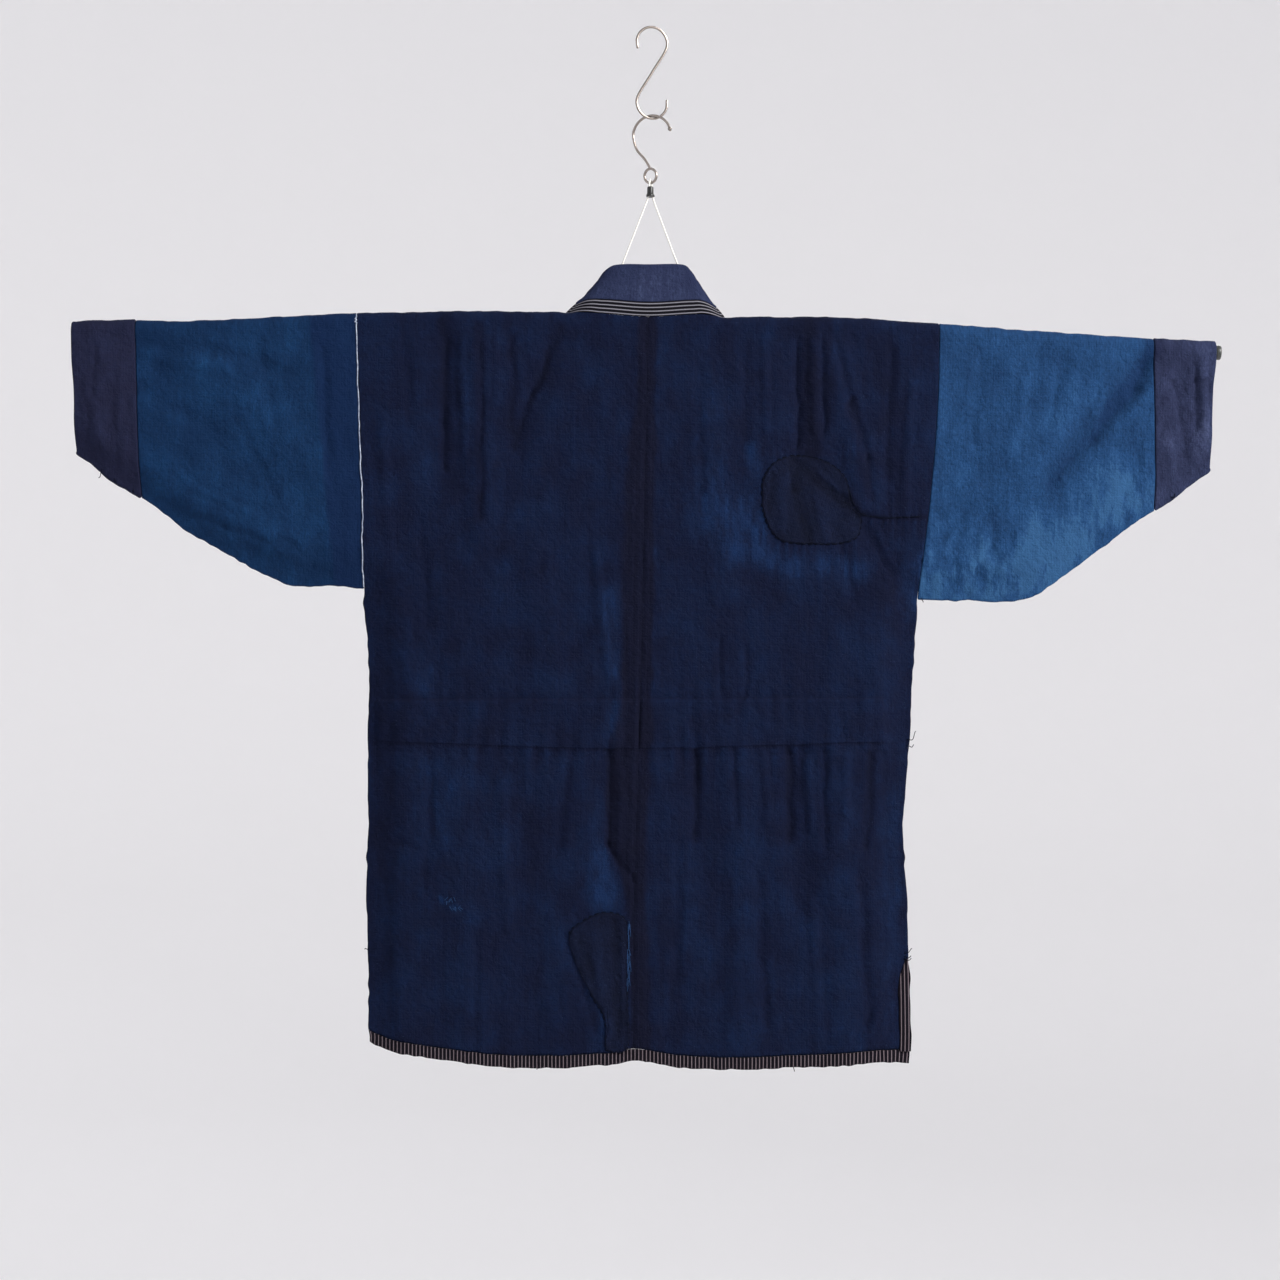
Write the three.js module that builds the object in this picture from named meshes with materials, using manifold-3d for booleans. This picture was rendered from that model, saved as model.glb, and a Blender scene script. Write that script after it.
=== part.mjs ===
// Boro jacket on its hanger, hung from an S-hook and seen from the back, in millimetres.
// The origin is the inside top of the S-hook's upper bow, where a rail carries it.
// +X is to the right as the back is looked at, the back faces -Y, and +Z is up.
// In every table `down` is the distance below the origin and `x` the distance to its right.

import * as THREE from 'three';
import { mergeVertices } from 'three/addons/utils/BufferGeometryUtils.js';
import Module from 'manifold-3d';

const wasm = await Module();
wasm.setup();

// Driving sizes

const clothWall = 2.0;
const cuffWall = 3.0;
const collarWall = 3.0;
const hemBandWall = 1.6;
const patchWall = 1.0;
const seamGap = 0.3;
const bodyDepth = 10.5;
const seamClosing = 45;
const depthDrop = 120;

const rodRadius = 7.5;
const rodCapRadius = 7.8;
const rodCapLength = 12;
const rodSeatDepth = 5;
const clothOverRod = rodCapRadius + seamGap;

const frontHemLift = 3;
const ventTop = 975;
const ventRun = 90;
const ventGap = 3;
const tuckHeight = 1.6;
const tuckEase = 8;
const foldFade = 25;
const baseBandWidth = 14.5;
const neckFlankGap = 0.5;
const bandGap = 0.8;

const wireRadius = 1.4;
const cordRadius = 1.1;
const hookTurn = THREE.MathUtils.degToRad(18);

// Outline tables

// Top of the cloth along the rod, from the left cuff to the right one.
const shoulderLine = [
  { x: -617, down: 314 },
  { x: -553, down: 312 },
  { x: -500, down: 312.5 },
  { x: -426, down: 309.5 },
  { x: -341, down: 305.5 },
  { x: -257, down: 303 },
  { x: -108, down: 302.6 },
  { x: -4, down: 305 },
  { x: 83, down: 308 },
  { x: 190, down: 308.5 },
  { x: 274, down: 313 },
  { x: 380, down: 321 },
  { x: 464, down: 327 },
  { x: 549, down: 332.5 },
  { x: 600, down: 335 },
];

// Underside of both sleeves and cuffs; the rows between the armholes are inside the body.
const sleeveUnderside = [
  { x: -612, down: 451 },
  { x: -596, down: 463 },
  { x: -574, down: 481 },
  { x: -532, down: 506 },
  { x: -490, down: 537 },
  { x: -447, down: 561 },
  { x: -405, down: 584 },
  { x: -384, down: 591 },
  { x: -341, down: 593 },
  { x: -306, down: 596 },
  { x: 282, down: 607 },
  { x: 337, down: 608 },
  { x: 380, down: 609 },
  { x: 402, down: 605 },
  { x: 422, down: 593 },
  { x: 464, down: 562 },
  { x: 507, down: 530 },
  { x: 549, down: 502 },
  { x: 592, down: 470 },
  { x: 600, down: 464 },
];

// Armhole seams down to the underarm, and the side seams and vents below it.
const sideEdges = [
  { down: 305, left: -314, right: 305.5 },
  { down: 400, left: -310.5, right: 303 },
  { down: 500, left: -307.5, right: 295 },
  { down: 600, left: -306, right: 283 },
  { down: 670, left: -300.5, right: 277.5 },
  { down: 740, left: -300.5, right: 273.5 },
  { down: 860, left: -301.5, right: 266.5 },
  { down: 960, left: -301.5, right: 271 },
  { down: 1065, left: -300, right: 273 },
  { down: 1100, left: -298.5, right: 272.5 },
];

const centreSeam = [
  { down: 305, x: -4.2 },
  { down: 500, x: -8 },
  { down: 715, x: -12.7 },
  { down: 927, x: -19 },
  { down: 1100, x: -20 },
];

const hemLine = [
  { x: -300, down: 1076 },
  { x: -278, down: 1086 },
  { x: -235, down: 1094 },
  { x: -172, down: 1102 },
  { x: -119, down: 1104 },
  { x: -45, down: 1101 },
  { x: -20, down: 1096 },
  { x: 19, down: 1102 },
  { x: 72, down: 1106 },
  { x: 168, down: 1103 },
  { x: 252, down: 1098 },
  { x: 273, down: 1099 },
];

const cuffLines = [
  { down: 312, leftEnd: -617, leftSeam: -549, rightSeam: 533, rightEnd: 599 },
  { down: 352, leftEnd: -616, leftSeam: -548, rightSeam: 533, rightEnd: 599 },
  { down: 385, leftEnd: -613.5, leftSeam: -547, rightSeam: 533, rightEnd: 595 },
  { down: 440, leftEnd: -612.5, leftSeam: -545, rightSeam: 533.5, rightEnd: 593.5 },
  { down: 495, leftEnd: -607.5, leftSeam: -542.5, rightSeam: 534, rightEnd: 593.5 },
];

// The sewn waist tuck on the back, from its lower folded edge to its upper stitched line.
const tuckLines = [
  { x: -300, lower: 758, upper: 714 },
  { x: -45, lower: 766, upper: 713 },
  { x: 250, lower: 759, upper: 712 },
];
const tuckStart = -294;
const tuckEnd = 250;
// Rows over which its height rises from the folded edge, and runs out at the stitched line.
const tuckFoot = 0.995;
const tuckStep = 0.012;
const tuckTaper = 0.06;

const backNeckline = [
  { x: -92, down: 302.5 },
  { x: -55, down: 304.5 },
  { x: -4, down: 308 },
  { x: 51, down: 305.5 },
  { x: 78, down: 307.5 },
];
const neckHalf = { left: 87.8, right: 82.6 };
// Past this share of the neck the back starts to wrap over the rod; inside it, only by this angle.
const neckWrapStart = 0.7;
const neckWrapAngle = THREE.MathUtils.degToRad(12);
const flankStart = 0.6;
const flankEase = 0.1;

// Half width of the front neck opening at the collar's seam, and at its free edge.
const frontOpening = [
  { down: 305, seam: 85.2, free: 47 },
  { down: 345, seam: 82, free: 31 },
  { down: 400, seam: 79.5, free: 22.5 },
  { down: 520, seam: 76, free: 17 },
  { down: 1100, seam: 70, free: 12 },
];

// Free edge of the collar round the neck: turn 0 is in front at the rod, 1 on the shoulder, 2 behind.
const collarTurns = {
  left: [
    { turn: 0, x: -46, y: 9.6, down: 303 },
    { turn: 0.5, x: -52, y: 6, down: 287 },
    { turn: 1, x: -56, y: 1, down: 273 },
    { turn: 1.3, x: -45, y: -3.2, down: 256 },
    { turn: 1.55, x: -34, y: -5, down: 252 },
    { turn: 2, x: -3, y: -6, down: 252 },
  ],
  right: [
    { turn: 0, x: 37, y: 9.6, down: 306 },
    { turn: 0.5, x: 42, y: 6, down: 289 },
    { turn: 1, x: 46, y: 1, down: 272 },
    { turn: 1.3, x: 38, y: -3.2, down: 257 },
    { turn: 1.55, x: 31, y: -5, down: 252 },
    { turn: 2, x: -3, y: -6, down: 252 },
  ],
};

// Largest folds: a ridge or a trough from one end to the other, its half width and its height.
const folds = {
  back: [
    { x1: -222, down1: 318, x2: -221, down2: 480, half: 26, height: -2.2 },
    { x1: -183, down1: 315, x2: -180, down2: 540, half: 24, height: 2.4 },
    { x1: -98, down1: 322, x2: -146, down2: 445, half: 24, height: -2 },
    { x1: -262, down1: 560, x2: -228, down2: 700, half: 30, height: -2 },
    { x1: -120, down1: 560, x2: -105, down2: 700, half: 28, height: 1.6 },
    { x1: -46, down1: 775, x2: -42, down2: 890, half: 24, height: -2.2 },
    { x1: -205, down1: 780, x2: -190, down2: 1090, half: 32, height: 2.2 },
    { x1: -130, down1: 820, x2: -128, down2: 1098, half: 28, height: -2 },
    { x1: 153, down1: 318, x2: 156, down2: 456, half: 24, height: -2.4 },
    { x1: 187, down1: 318, x2: 228, down2: 505, half: 24, height: 2.4 },
    { x1: 60, down1: 420, x2: 78, down2: 600, half: 30, height: 1.8 },
    { x1: 226, down1: 530, x2: 268, down2: 600, half: 24, height: -2.2 },
    { x1: 45, down1: 775, x2: 50, down2: 900, half: 22, height: -2.2 },
    { x1: 90, down1: 772, x2: 98, down2: 1095, half: 24, height: 2.4 },
    { x1: 152, down1: 772, x2: 158, down2: 930, half: 24, height: -2.6 },
    { x1: 196, down1: 775, x2: 206, down2: 1092, half: 26, height: 2.4 },
    { x1: 238, down1: 770, x2: 236, down2: 880, half: 22, height: -2 },
    { x1: -546, down1: 334, x2: -430, down2: 476, half: 30, height: -2.6 },
    { x1: -522, down1: 500, x2: -380, down2: 555, half: 24, height: 2 },
    { x1: -470, down1: 345, x2: -360, down2: 470, half: 30, height: 2.2 },
    { x1: 528, down1: 350, x2: 425, down2: 486, half: 26, height: -2.8 },
    { x1: 480, down1: 350, x2: 400, down2: 470, half: 26, height: 2.4 },
    { x1: 300, down1: 575, x2: 372, down2: 560, half: 24, height: -2 },
    { x1: -585, down1: 340, x2: -590, down2: 440, half: 20, height: 1.6 },
    { x1: 584, down1: 345, x2: 583, down2: 450, half: 18, height: 2 },
    { x1: 562, down1: 350, x2: 566, down2: 470, half: 18, height: -1.8 },
  ],
  front: [
    { x1: -200, down1: 330, x2: -185, down2: 560, half: 32, height: 2.4 },
    { x1: -245, down1: 620, x2: -225, down2: 980, half: 34, height: -2.4 },
    { x1: -150, down1: 700, x2: -155, down2: 1090, half: 32, height: 2.2 },
    { x1: 170, down1: 330, x2: 190, down2: 520, half: 32, height: -2.4 },
    { x1: 215, down1: 600, x2: 200, down2: 900, half: 34, height: 2.4 },
    { x1: 130, down1: 720, x2: 125, down2: 1090, half: 32, height: -2.2 },
    { x1: -530, down1: 350, x2: -410, down2: 500, half: 32, height: 2.4 },
    { x1: 520, down1: 355, x2: 420, down2: 500, half: 30, height: -2.4 },
  ],
};

// The oval patch and the patch by the hem, as outlines on the back, point by point clockwise.
const ovalPatch = [
  { x: 117, down: 499 }, { x: 118, down: 481 }, { x: 129, down: 464 }, { x: 148, down: 456 },
  { x: 171, down: 458 }, { x: 191, down: 466 }, { x: 206, down: 482 }, { x: 211, down: 508 },
  { x: 221, down: 521 }, { x: 218, down: 540 }, { x: 203, down: 548 }, { x: 171, down: 549 },
  { x: 139, down: 546 }, { x: 126, down: 534 }, { x: 118, down: 514 },
];
const hemPatch = [
  { x: -88, down: 964 }, { x: -71, down: 948 }, { x: -50, down: 940 }, { x: -29, down: 947 },
  { x: -26, down: 975 }, { x: -26, down: 1083 }, { x: -49, down: 1085 }, { x: -48, down: 1070 },
  { x: -52, down: 1048 }, { x: -65, down: 1026 }, { x: -80, down: 996 },
];
const ventBand = [
  { x: 259, down: 994 }, { x: 275, down: 994 }, { x: 275, down: 1084 }, { x: 261, down: 1084 },
];

// Number of cells along and round the pieces
const sideColumns = 11;
const frontColumns = 10;
const sleeveSteps = 12;
const cuffSteps = 4;
const neckShares = [0, 0.24, 0.48, 0.72, 0.83, 0.92, 1];

// Rows up a body panel: 0 is the hem, 1 and 2 the tuck's lines, 3 the rod's axis, 4 the end over the rod.
const hemBandShare = 0.036;
const hemGapShare = 0.0009;
const backRows = [
  0.15, 0.28, 0.41, 0.54, 0.67, 0.8, 0.92, 0.994, 1.01, 1.5, 1.93, 2.0,
  2.04, 2.12, 2.2, 2.28, 2.36, 2.44, 2.52, 2.6, 2.68, 2.76, 2.84, 2.92,
  3, 3.25, 3.5, 3.75, 4,
];
const frontRows = [
  0.2, 0.4, 0.6, 0.8, 1, 1.5, 2, 2.15, 2.3, 2.45, 2.6, 2.75, 2.9, 3, 3.25, 3.5, 3.75, 4,
];
// The cloth has no seam here: each front is parted at these rows, and by its side seam, so that
// every solid is a simple wall and the hollow behind it stays open in the collision pieces.
const underarmRow = 2.4;
const rodRow = 3;
const collarRows = [0.2, 0.4, 0.6, 0.8, 1, 1.5, 2, 2.15, 2.3, 2.45, 2.6, 2.75, 2.9];

// Small mathematics

const lerp = (a, b, t) => a + (b - a) * t;
const clamp01 = (t) => Math.min(Math.max(t, 0), 1);

function smooth(t) {
  const c = clamp01(t);
  return c * c * (3 - 2 * c);
}

// A smooth curve through a table: `by` names the column it is read by and `get` the one it gives.
function curveOf(rows, by, get) {
  const at = rows.map((row) => row[by]);
  const value = rows.map((row) => row[get]);
  const last = rows.length - 1;
  const slope = rows.map((_, i) => {
    const before = Math.max(i - 1, 0);
    const after = Math.min(i + 1, last);
    return (value[after] - value[before]) / (at[after] - at[before]);
  });
  return (place) => {
    if (place <= at[0]) return value[0];
    if (place >= at[last]) return value[last];
    const i = at.findIndex((a) => a > place) - 1;
    const step = at[i + 1] - at[i];
    const t = (place - at[i]) / step;
    const rise = value[i + 1] - value[i];
    const bend = (slope[i] * step - rise) * (1 - t) - (slope[i + 1] * step - rise) * t;
    return value[i] + rise * t + bend * t * (1 - t);
  };
}

const shoulderDown = curveOf(shoulderLine, 'x', 'down');
const undersideDown = curveOf(sleeveUnderside, 'x', 'down');
const hemDown = curveOf(hemLine, 'x', 'down');
const centreX = curveOf(centreSeam, 'down', 'x');
const necklineDown = curveOf(backNeckline, 'x', 'down');
const tuckLower = curveOf(tuckLines, 'x', 'lower');
const tuckUpper = curveOf(tuckLines, 'x', 'upper');
const openingSeam = curveOf(frontOpening, 'down', 'seam');
const openingFree = curveOf(frontOpening, 'down', 'free');

const sideX = {
  left: curveOf(sideEdges, 'down', 'left'),
  right: curveOf(sideEdges, 'down', 'right'),
};
const cuffSeamX = {
  left: curveOf(cuffLines, 'down', 'leftSeam'),
  right: curveOf(cuffLines, 'down', 'rightSeam'),
};
const cuffEndX = {
  left: curveOf(cuffLines, 'down', 'leftEnd'),
  right: curveOf(cuffLines, 'down', 'rightEnd'),
};
const outwardX = { left: -1, right: 1 };
const underarmDown = { left: 596, right: 607 };
const shoulderLevel = 305;
const hemLevel = 1100;

const rodAxisDown = (x) => shoulderDown(x) + clothWall + clothOverRod;

// Height of the folds at a place on the back or the front, out of the cloth.
function foldHeight(face, x, down) {
  let height = 0;
  for (const fold of folds[face]) {
    const alongX = fold.x2 - fold.x1;
    const alongDown = fold.down2 - fold.down1;
    const reach = (x - fold.x1) * alongX + (down - fold.down1) * alongDown;
    const t = clamp01(reach / (alongX ** 2 + alongDown ** 2));
    const away = Math.hypot(x - fold.x1 - alongX * t, down - fold.down1 - alongDown * t);
    if (away < fold.half) height += fold.height * (1 - (away / fold.half) ** 2) ** 2;
  }
  return height;
}

// Half depth inside the garment: the rod's at the top, the body's lower down, shut at a seam.
function halfDepth(x, down, awayFromSeam, shut) {
  const drop = down - rodAxisDown(x);
  const open = lerp(clothOverRod, bodyDepth, smooth(drop / depthDrop));
  return lerp(shut, open, smooth(awayFromSeam / seamClosing));
}

// Body panels

// Distance of a place on the body from its side seam, which starts at the underarm.
function bodyAway(side, x, down) {
  const aside = Math.abs(x - sideX[side](down));
  const above = Math.max(underarmDown[side] - down, 0);
  return Math.hypot(aside, above);
}

function bodyShut(down) {
  return seamGap / 2 + ventGap * smooth((down - ventTop) / ventRun);
}

// Left and right ends of a panel at one level: the centre seam or the front edge, and the side.
function panelSpan(side, face, down) {
  const middle = centreX(down);
  const frontEdge = (openingSeam(down) * neckHalf[side]) / frontOpening[0].seam;
  const inner = face === 'back' ? seamGap / 2 : frontEdge;
  return [middle + outwardX[side] * inner, sideX[side](down)];
}

function levelDown(side, face, share, row) {
  const [lowInner, lowSide] = panelSpan(side, face, hemLevel);
  const [highInner, highSide] = panelSpan(side, face, shoulderLevel);
  const lowX = lerp(lowInner, lowSide, share);
  const highX = lerp(highInner, highSide, share);
  const hem = hemDown(lowX) - (face === 'front' ? frontHemLift : 0);
  const marks = [hem, tuckLower(lowX), tuckUpper(lowX), rodAxisDown(highX)];
  const i = Math.min(Math.floor(row), 2);
  return lerp(marks[i], marks[i + 1], row - i);
}

// How far a back column wraps over the rod: fully on the shoulder, hardly at all inside the neck.
function wrapOver(side, face, x) {
  const full = Math.acos(seamGap / 2 / clothOverRod);
  if (face === 'front') return { angle: full, rise: clothOverRod };
  const share = Math.abs(x - centreX(shoulderLevel)) / neckHalf[side];
  const onShoulder = smooth((share - neckWrapStart) / (1 - neckWrapStart));
  return {
    angle: lerp(neckWrapAngle, full, onShoulder),
    rise: lerp(rodAxisDown(x) - necklineDown(x), clothOverRod, onShoulder),
  };
}

// A point of a body panel's inner surface: share runs from its inner edge to its side, row up it.
function bodyPoint(side, face, share, row) {
  const facing = face === 'back' ? -1 : 1;
  const down = levelDown(side, face, share, Math.min(row, 3));
  const [inner, outer] = panelSpan(side, face, down);
  const x = lerp(inner, outer, share);
  const away = bodyAway(side, x, down);
  if (row <= 3) {
    const fade = smooth(away / seamClosing) * smooth((down - rodAxisDown(x)) / foldFade);
    const depth = halfDepth(x, down, away, bodyShut(down));
    return new THREE.Vector3(x, facing * (depth + foldHeight(face, x, down) * fade), -down);
  }
  const over = wrapOver(side, face, x);
  const angle = over.angle * (row - 3);
  const lift = (over.rise * Math.sin(angle)) / Math.sin(over.angle);
  return new THREE.Vector3(x, facing * clothOverRod * Math.cos(angle), -down + lift);
}

const normalStep = 0.001;

// Unit normal of a surface at (a, b), from its own slopes, turned to the garment's outside.
function outwardNormal(surface, a, b, outside) {
  const step = normalStep;
  const alongA = surface(a + step, b).sub(surface(a - step, b));
  const alongB = surface(a, b + step).sub(surface(a, b - step));
  const normal = alongA.cross(alongB).normalize();
  return normal.dot(outside) < 0 ? normal.negate() : normal;
}

// The tuck's double cloth, raised from its folded lower edge up to its stitched line.
function tuckRaise(x, row) {
  const within = smooth((x - tuckStart) / tuckEase) * smooth((tuckEnd - x) / tuckEase);
  const upward = clamp01((row - tuckFoot) / tuckStep) * clamp01((2 - row) / tuckTaper);
  return tuckHeight * within * upward;
}

// A cloth piece as two grids, its inner and its outer points.
function bodyGrid(side, face, shares, rows, wall, raised) {
  const facing = face === 'back' ? -1 : 1;
  const surface = (share, row) => bodyPoint(side, face, share, row);
  const [lowest, highest] = [normalStep * 2, 4 - normalStep * 2];
  const inner = shares.map((share) => rows.map((row) => surface(share, row)));
  const normals = shares.map((share) => rows.map((row) => {
    const up = new THREE.Vector3(0, facing, smooth(row - 3));
    const inside = Math.min(Math.max(row, lowest), highest);
    return row === 3 ? new THREE.Vector3(0, facing, 0) : outwardNormal(surface, share, inside, up);
  }));
  const outer = inner.map((column, i) => column.map((point, j) => {
    const thick = wall + (raised ? raised(point.x, rows[j]) : 0);
    return point.clone().addScaledVector(normals[i][j], thick);
  }));
  return { inner, outer, normals };
}

// Solids from grids

// A closed geometry; its faces are turned over where they would point inwards.
function closedGeometry(points, faces) {
  let volume = 0;
  for (let i = 0; i < faces.length; i += 3) {
    const [a, b, c] = [points[faces[i]], points[faces[i + 1]], points[faces[i + 2]]];
    volume += a.dot(b.clone().cross(c));
  }
  const turned = volume < 0 ? faces.slice().reverse() : faces;
  const geometry = new THREE.BufferGeometry();
  geometry.setFromPoints(points);
  geometry.setIndex(turned);
  geometry.computeVertexNormals();
  return geometry;
}

// The wall between an inner and an outer grid; `around` closes each row of points on itself.
function wallGeometry({ inner, outer }, around = false) {
  const last = inner.length - 1;
  const count = inner[0].length;
  const points = [...outer.flat(), ...inner.flat()];
  const out = (i, j) => i * count + (j % count);
  const inn = (i, j) => inner.length * count + i * count + (j % count);
  const faces = [];
  const quad = (a, b, c, d) => faces.push(a, b, c, a, c, d);
  const cells = around ? count : count - 1;
  for (let j = 0; j < cells; j += 1) {
    for (let i = 0; i < last; i += 1) {
      quad(out(i, j), out(i + 1, j), out(i + 1, j + 1), out(i, j + 1));
      quad(inn(i, j), inn(i, j + 1), inn(i + 1, j + 1), inn(i + 1, j));
    }
    quad(out(0, j + 1), inn(0, j + 1), inn(0, j), out(0, j));
    quad(out(last, j + 1), out(last, j), inn(last, j), inn(last, j + 1));
  }
  if (!around) {
    for (let i = 0; i < last; i += 1) {
      quad(out(i + 1, 0), out(i, 0), inn(i, 0), inn(i + 1, 0));
      quad(out(i + 1, cells), inn(i + 1, cells), inn(i, cells), out(i, cells));
    }
  }
  return closedGeometry(points, faces);
}

// Joining and cutting

const mergeDistance = 1e-4;

function toSolid(geometry) {
  const bare = geometry.clone();
  bare.deleteAttribute('normal');
  bare.deleteAttribute('uv');
  const merged = mergeVertices(bare, mergeDistance);
  return new wasm.Manifold(new wasm.Mesh({
    numProp: 3,
    vertProperties: new Float32Array(merged.attributes.position.array),
    triVerts: new Uint32Array(merged.index.array),
  }));
}

function fromSolid(solid) {
  const mesh = solid.getMesh();
  const geometry = new THREE.BufferGeometry();
  geometry.setAttribute('position', new THREE.BufferAttribute(mesh.vertProperties, 3));
  geometry.setIndex(new THREE.BufferAttribute(mesh.triVerts, 1));
  geometry.computeVertexNormals();
  return geometry;
}

// Colours of the cloths and the hanger

const cloths = {
  backIndigo: { color: 0x18213a, roughness: 0.95 },
  sleeveBlue: { color: 0x1a3151, roughness: 0.95 },
  fadedBlue: { color: 0x2c4b75, roughness: 0.95 },
  cuffPurple: { color: 0x23253b, roughness: 0.95 },
  cuffViolet: { color: 0x343955, roughness: 0.95 },
  collarViolet: { color: 0x343c5a, roughness: 0.95 },
  stripedLining: { color: 0x6d6763, roughness: 0.95 },
  patchIndigo: { color: 0x15192c, roughness: 0.95 },
};
const hard = {
  rodWood: { color: 0x3a3a33, roughness: 0.6 },
  blackPlastic: { color: 0x141414, roughness: 0.5 },
  whiteCord: { color: 0xe8e6e0, roughness: 0.9 },
  steelWire: { color: 0x8d9196, roughness: 0.35, metalness: 1 },
};

const jacket = new THREE.Group();

function addPiece(name, geometry, finish) {
  const mesh = new THREE.Mesh(geometry, new THREE.MeshStandardMaterial(finish));
  mesh.name = name;
  jacket.add(mesh);
}

// Values before and after a cut through sorted rows or columns, its two edges half a gap away.
function cutAt(values, place, halfBefore, halfAfter = halfBefore) {
  const before = [...values.filter((value) => value < place - halfBefore), place - halfBefore];
  const after = [place + halfAfter, ...values.filter((value) => value > place + halfAfter)];
  return [before, after];
}

// The part of a grid in a range of its columns and rows.
function partOf(grid, columns, rows) {
  const cells = (points) => points.slice(...columns).map((column) => column.slice(...rows));
  return { inner: cells(grid.inner), outer: cells(grid.outer) };
}

// Backs and fronts with their striped hem bands

const bandRows = [0, hemBandShare];
const panelStart = hemBandShare + hemGapShare;
const backGrids = {};

// A front as three solids: the panel, the strip by its side seam and the shoulder over the rod.
function addFront(side, shares, rows) {
  const [inner, edge] = panelSpan(side, 'front', shoulderLevel);
  const width = Math.abs(edge - inner);
  const rise = tuckLines[1].upper - shoulderLevel;
  const wrap = (clothOverRod * Math.PI) / 2;
  const [low, aboveUnderarm] = cutAt([panelStart, ...rows], underarmRow, seamGap / 2 / rise);
  const [top, shoulder] = cutAt(aboveUnderarm, rodRow, seamGap / 2 / rise, seamGap / 2 / wrap);
  const [middle, strip] = cutAt(shares, 1 - seamClosing / width, seamGap / 2 / width);
  const grid = bodyGrid(side, 'front', [...middle, ...strip], [...low, ...top, ...shoulder], clothWall);
  const rodEnd = low.length + top.length;
  const panel = wallGeometry(partOf(grid, [0, middle.length], [0, rodEnd]));
  const byArmhole = wallGeometry(partOf(grid, [middle.length - 1], [low.length, rodEnd]));
  const bySideSeam = wallGeometry(partOf(grid, [middle.length], [0, low.length]));
  const overRod = wallGeometry(partOf(grid, [0], [rodEnd]));
  addPiece(`front_${side}`, fromSolid(toSolid(panel).add(toSolid(byArmhole))), cloths.backIndigo);
  addPiece(`front_${side}_side`, bySideSeam, cloths.backIndigo);
  addPiece(`front_${side}_shoulder`, overRod, cloths.backIndigo);
}

for (const side of ['left', 'right']) {
  const [seam, edge] = panelSpan(side, 'back', shoulderLevel);
  const width = Math.abs(edge - seam);
  const neckColumns = neckShares.map((share) => (share * neckHalf[side]) / width);
  const neckEnd = neckColumns.at(-1);
  const outerColumns = Array.from({ length: sideColumns }, (_, i) => (
    lerp(neckEnd, 1, (i + 1) / sideColumns)
  ));
  const backShares = [...neckColumns, ...outerColumns];
  const frontShares = Array.from({ length: frontColumns + 1 }, (_, i) => i / frontColumns);
  const backGrid = bodyGrid(side, 'back', backShares, [panelStart, ...backRows], clothWall, tuckRaise);
  const backBand = bodyGrid(side, 'back', backShares, bandRows, hemBandWall);
  const frontBand = bodyGrid(side, 'front', frontShares, bandRows, hemBandWall);
  addPiece(`back_${side}`, wallGeometry(backGrid), cloths.backIndigo);
  addFront(side, frontShares, frontRows);
  addPiece(`hem_band_back_${side}`, wallGeometry(backBand), cloths.stripedLining);
  addPiece(`hem_band_front_${side}`, wallGeometry(frontBand), cloths.stripedLining);
  backGrids[side] = backGrid;
}

// Patches and the vent's edge, cut by their outlines from the back's own points moved out

const patchCutDepth = 60;

function onBack(side, outline) {
  const { outer, normals } = backGrids[side];
  const movedOut = (distance) => outer.map((column, i) => (
    column.map((point, j) => point.clone().addScaledVector(normals[i][j], distance))
  ));
  const layer = toSolid(wallGeometry({
    inner: movedOut(seamGap),
    outer: movedOut(seamGap + patchWall),
  }));
  const shape = new THREE.Shape(outline.map((point) => new THREE.Vector2(point.x, -point.down)));
  const cutter = new THREE.ExtrudeGeometry(shape, { depth: patchCutDepth, bevelEnabled: false });
  cutter.rotateX(Math.PI / 2);
  return fromSolid(layer.intersect(toSolid(cutter)));
}

addPiece('patch_oval', onBack('right', ovalPatch), cloths.patchIndigo);
addPiece('patch_hem', onBack('left', hemPatch), cloths.patchIndigo);
addPiece('vent_band_right', onBack('right', ventBand), cloths.stripedLining);

// Sleeves and cuffs

// Points round a sleeve at one place: over the rod, down the back, round the fold and up the front.
const overRodAngles = [90, 60, 30];
const sideShares = [0, 0.12, 0.25, 0.38, 0.51, 0.64, 0.76, 0.87, 0.95];
const foldAngles = [0, 45, 90, 135, 180];
const foldRadius = 0.4;
const sleeveTopLevel = 320;
const sleeveFoldLevel = 560;

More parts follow.
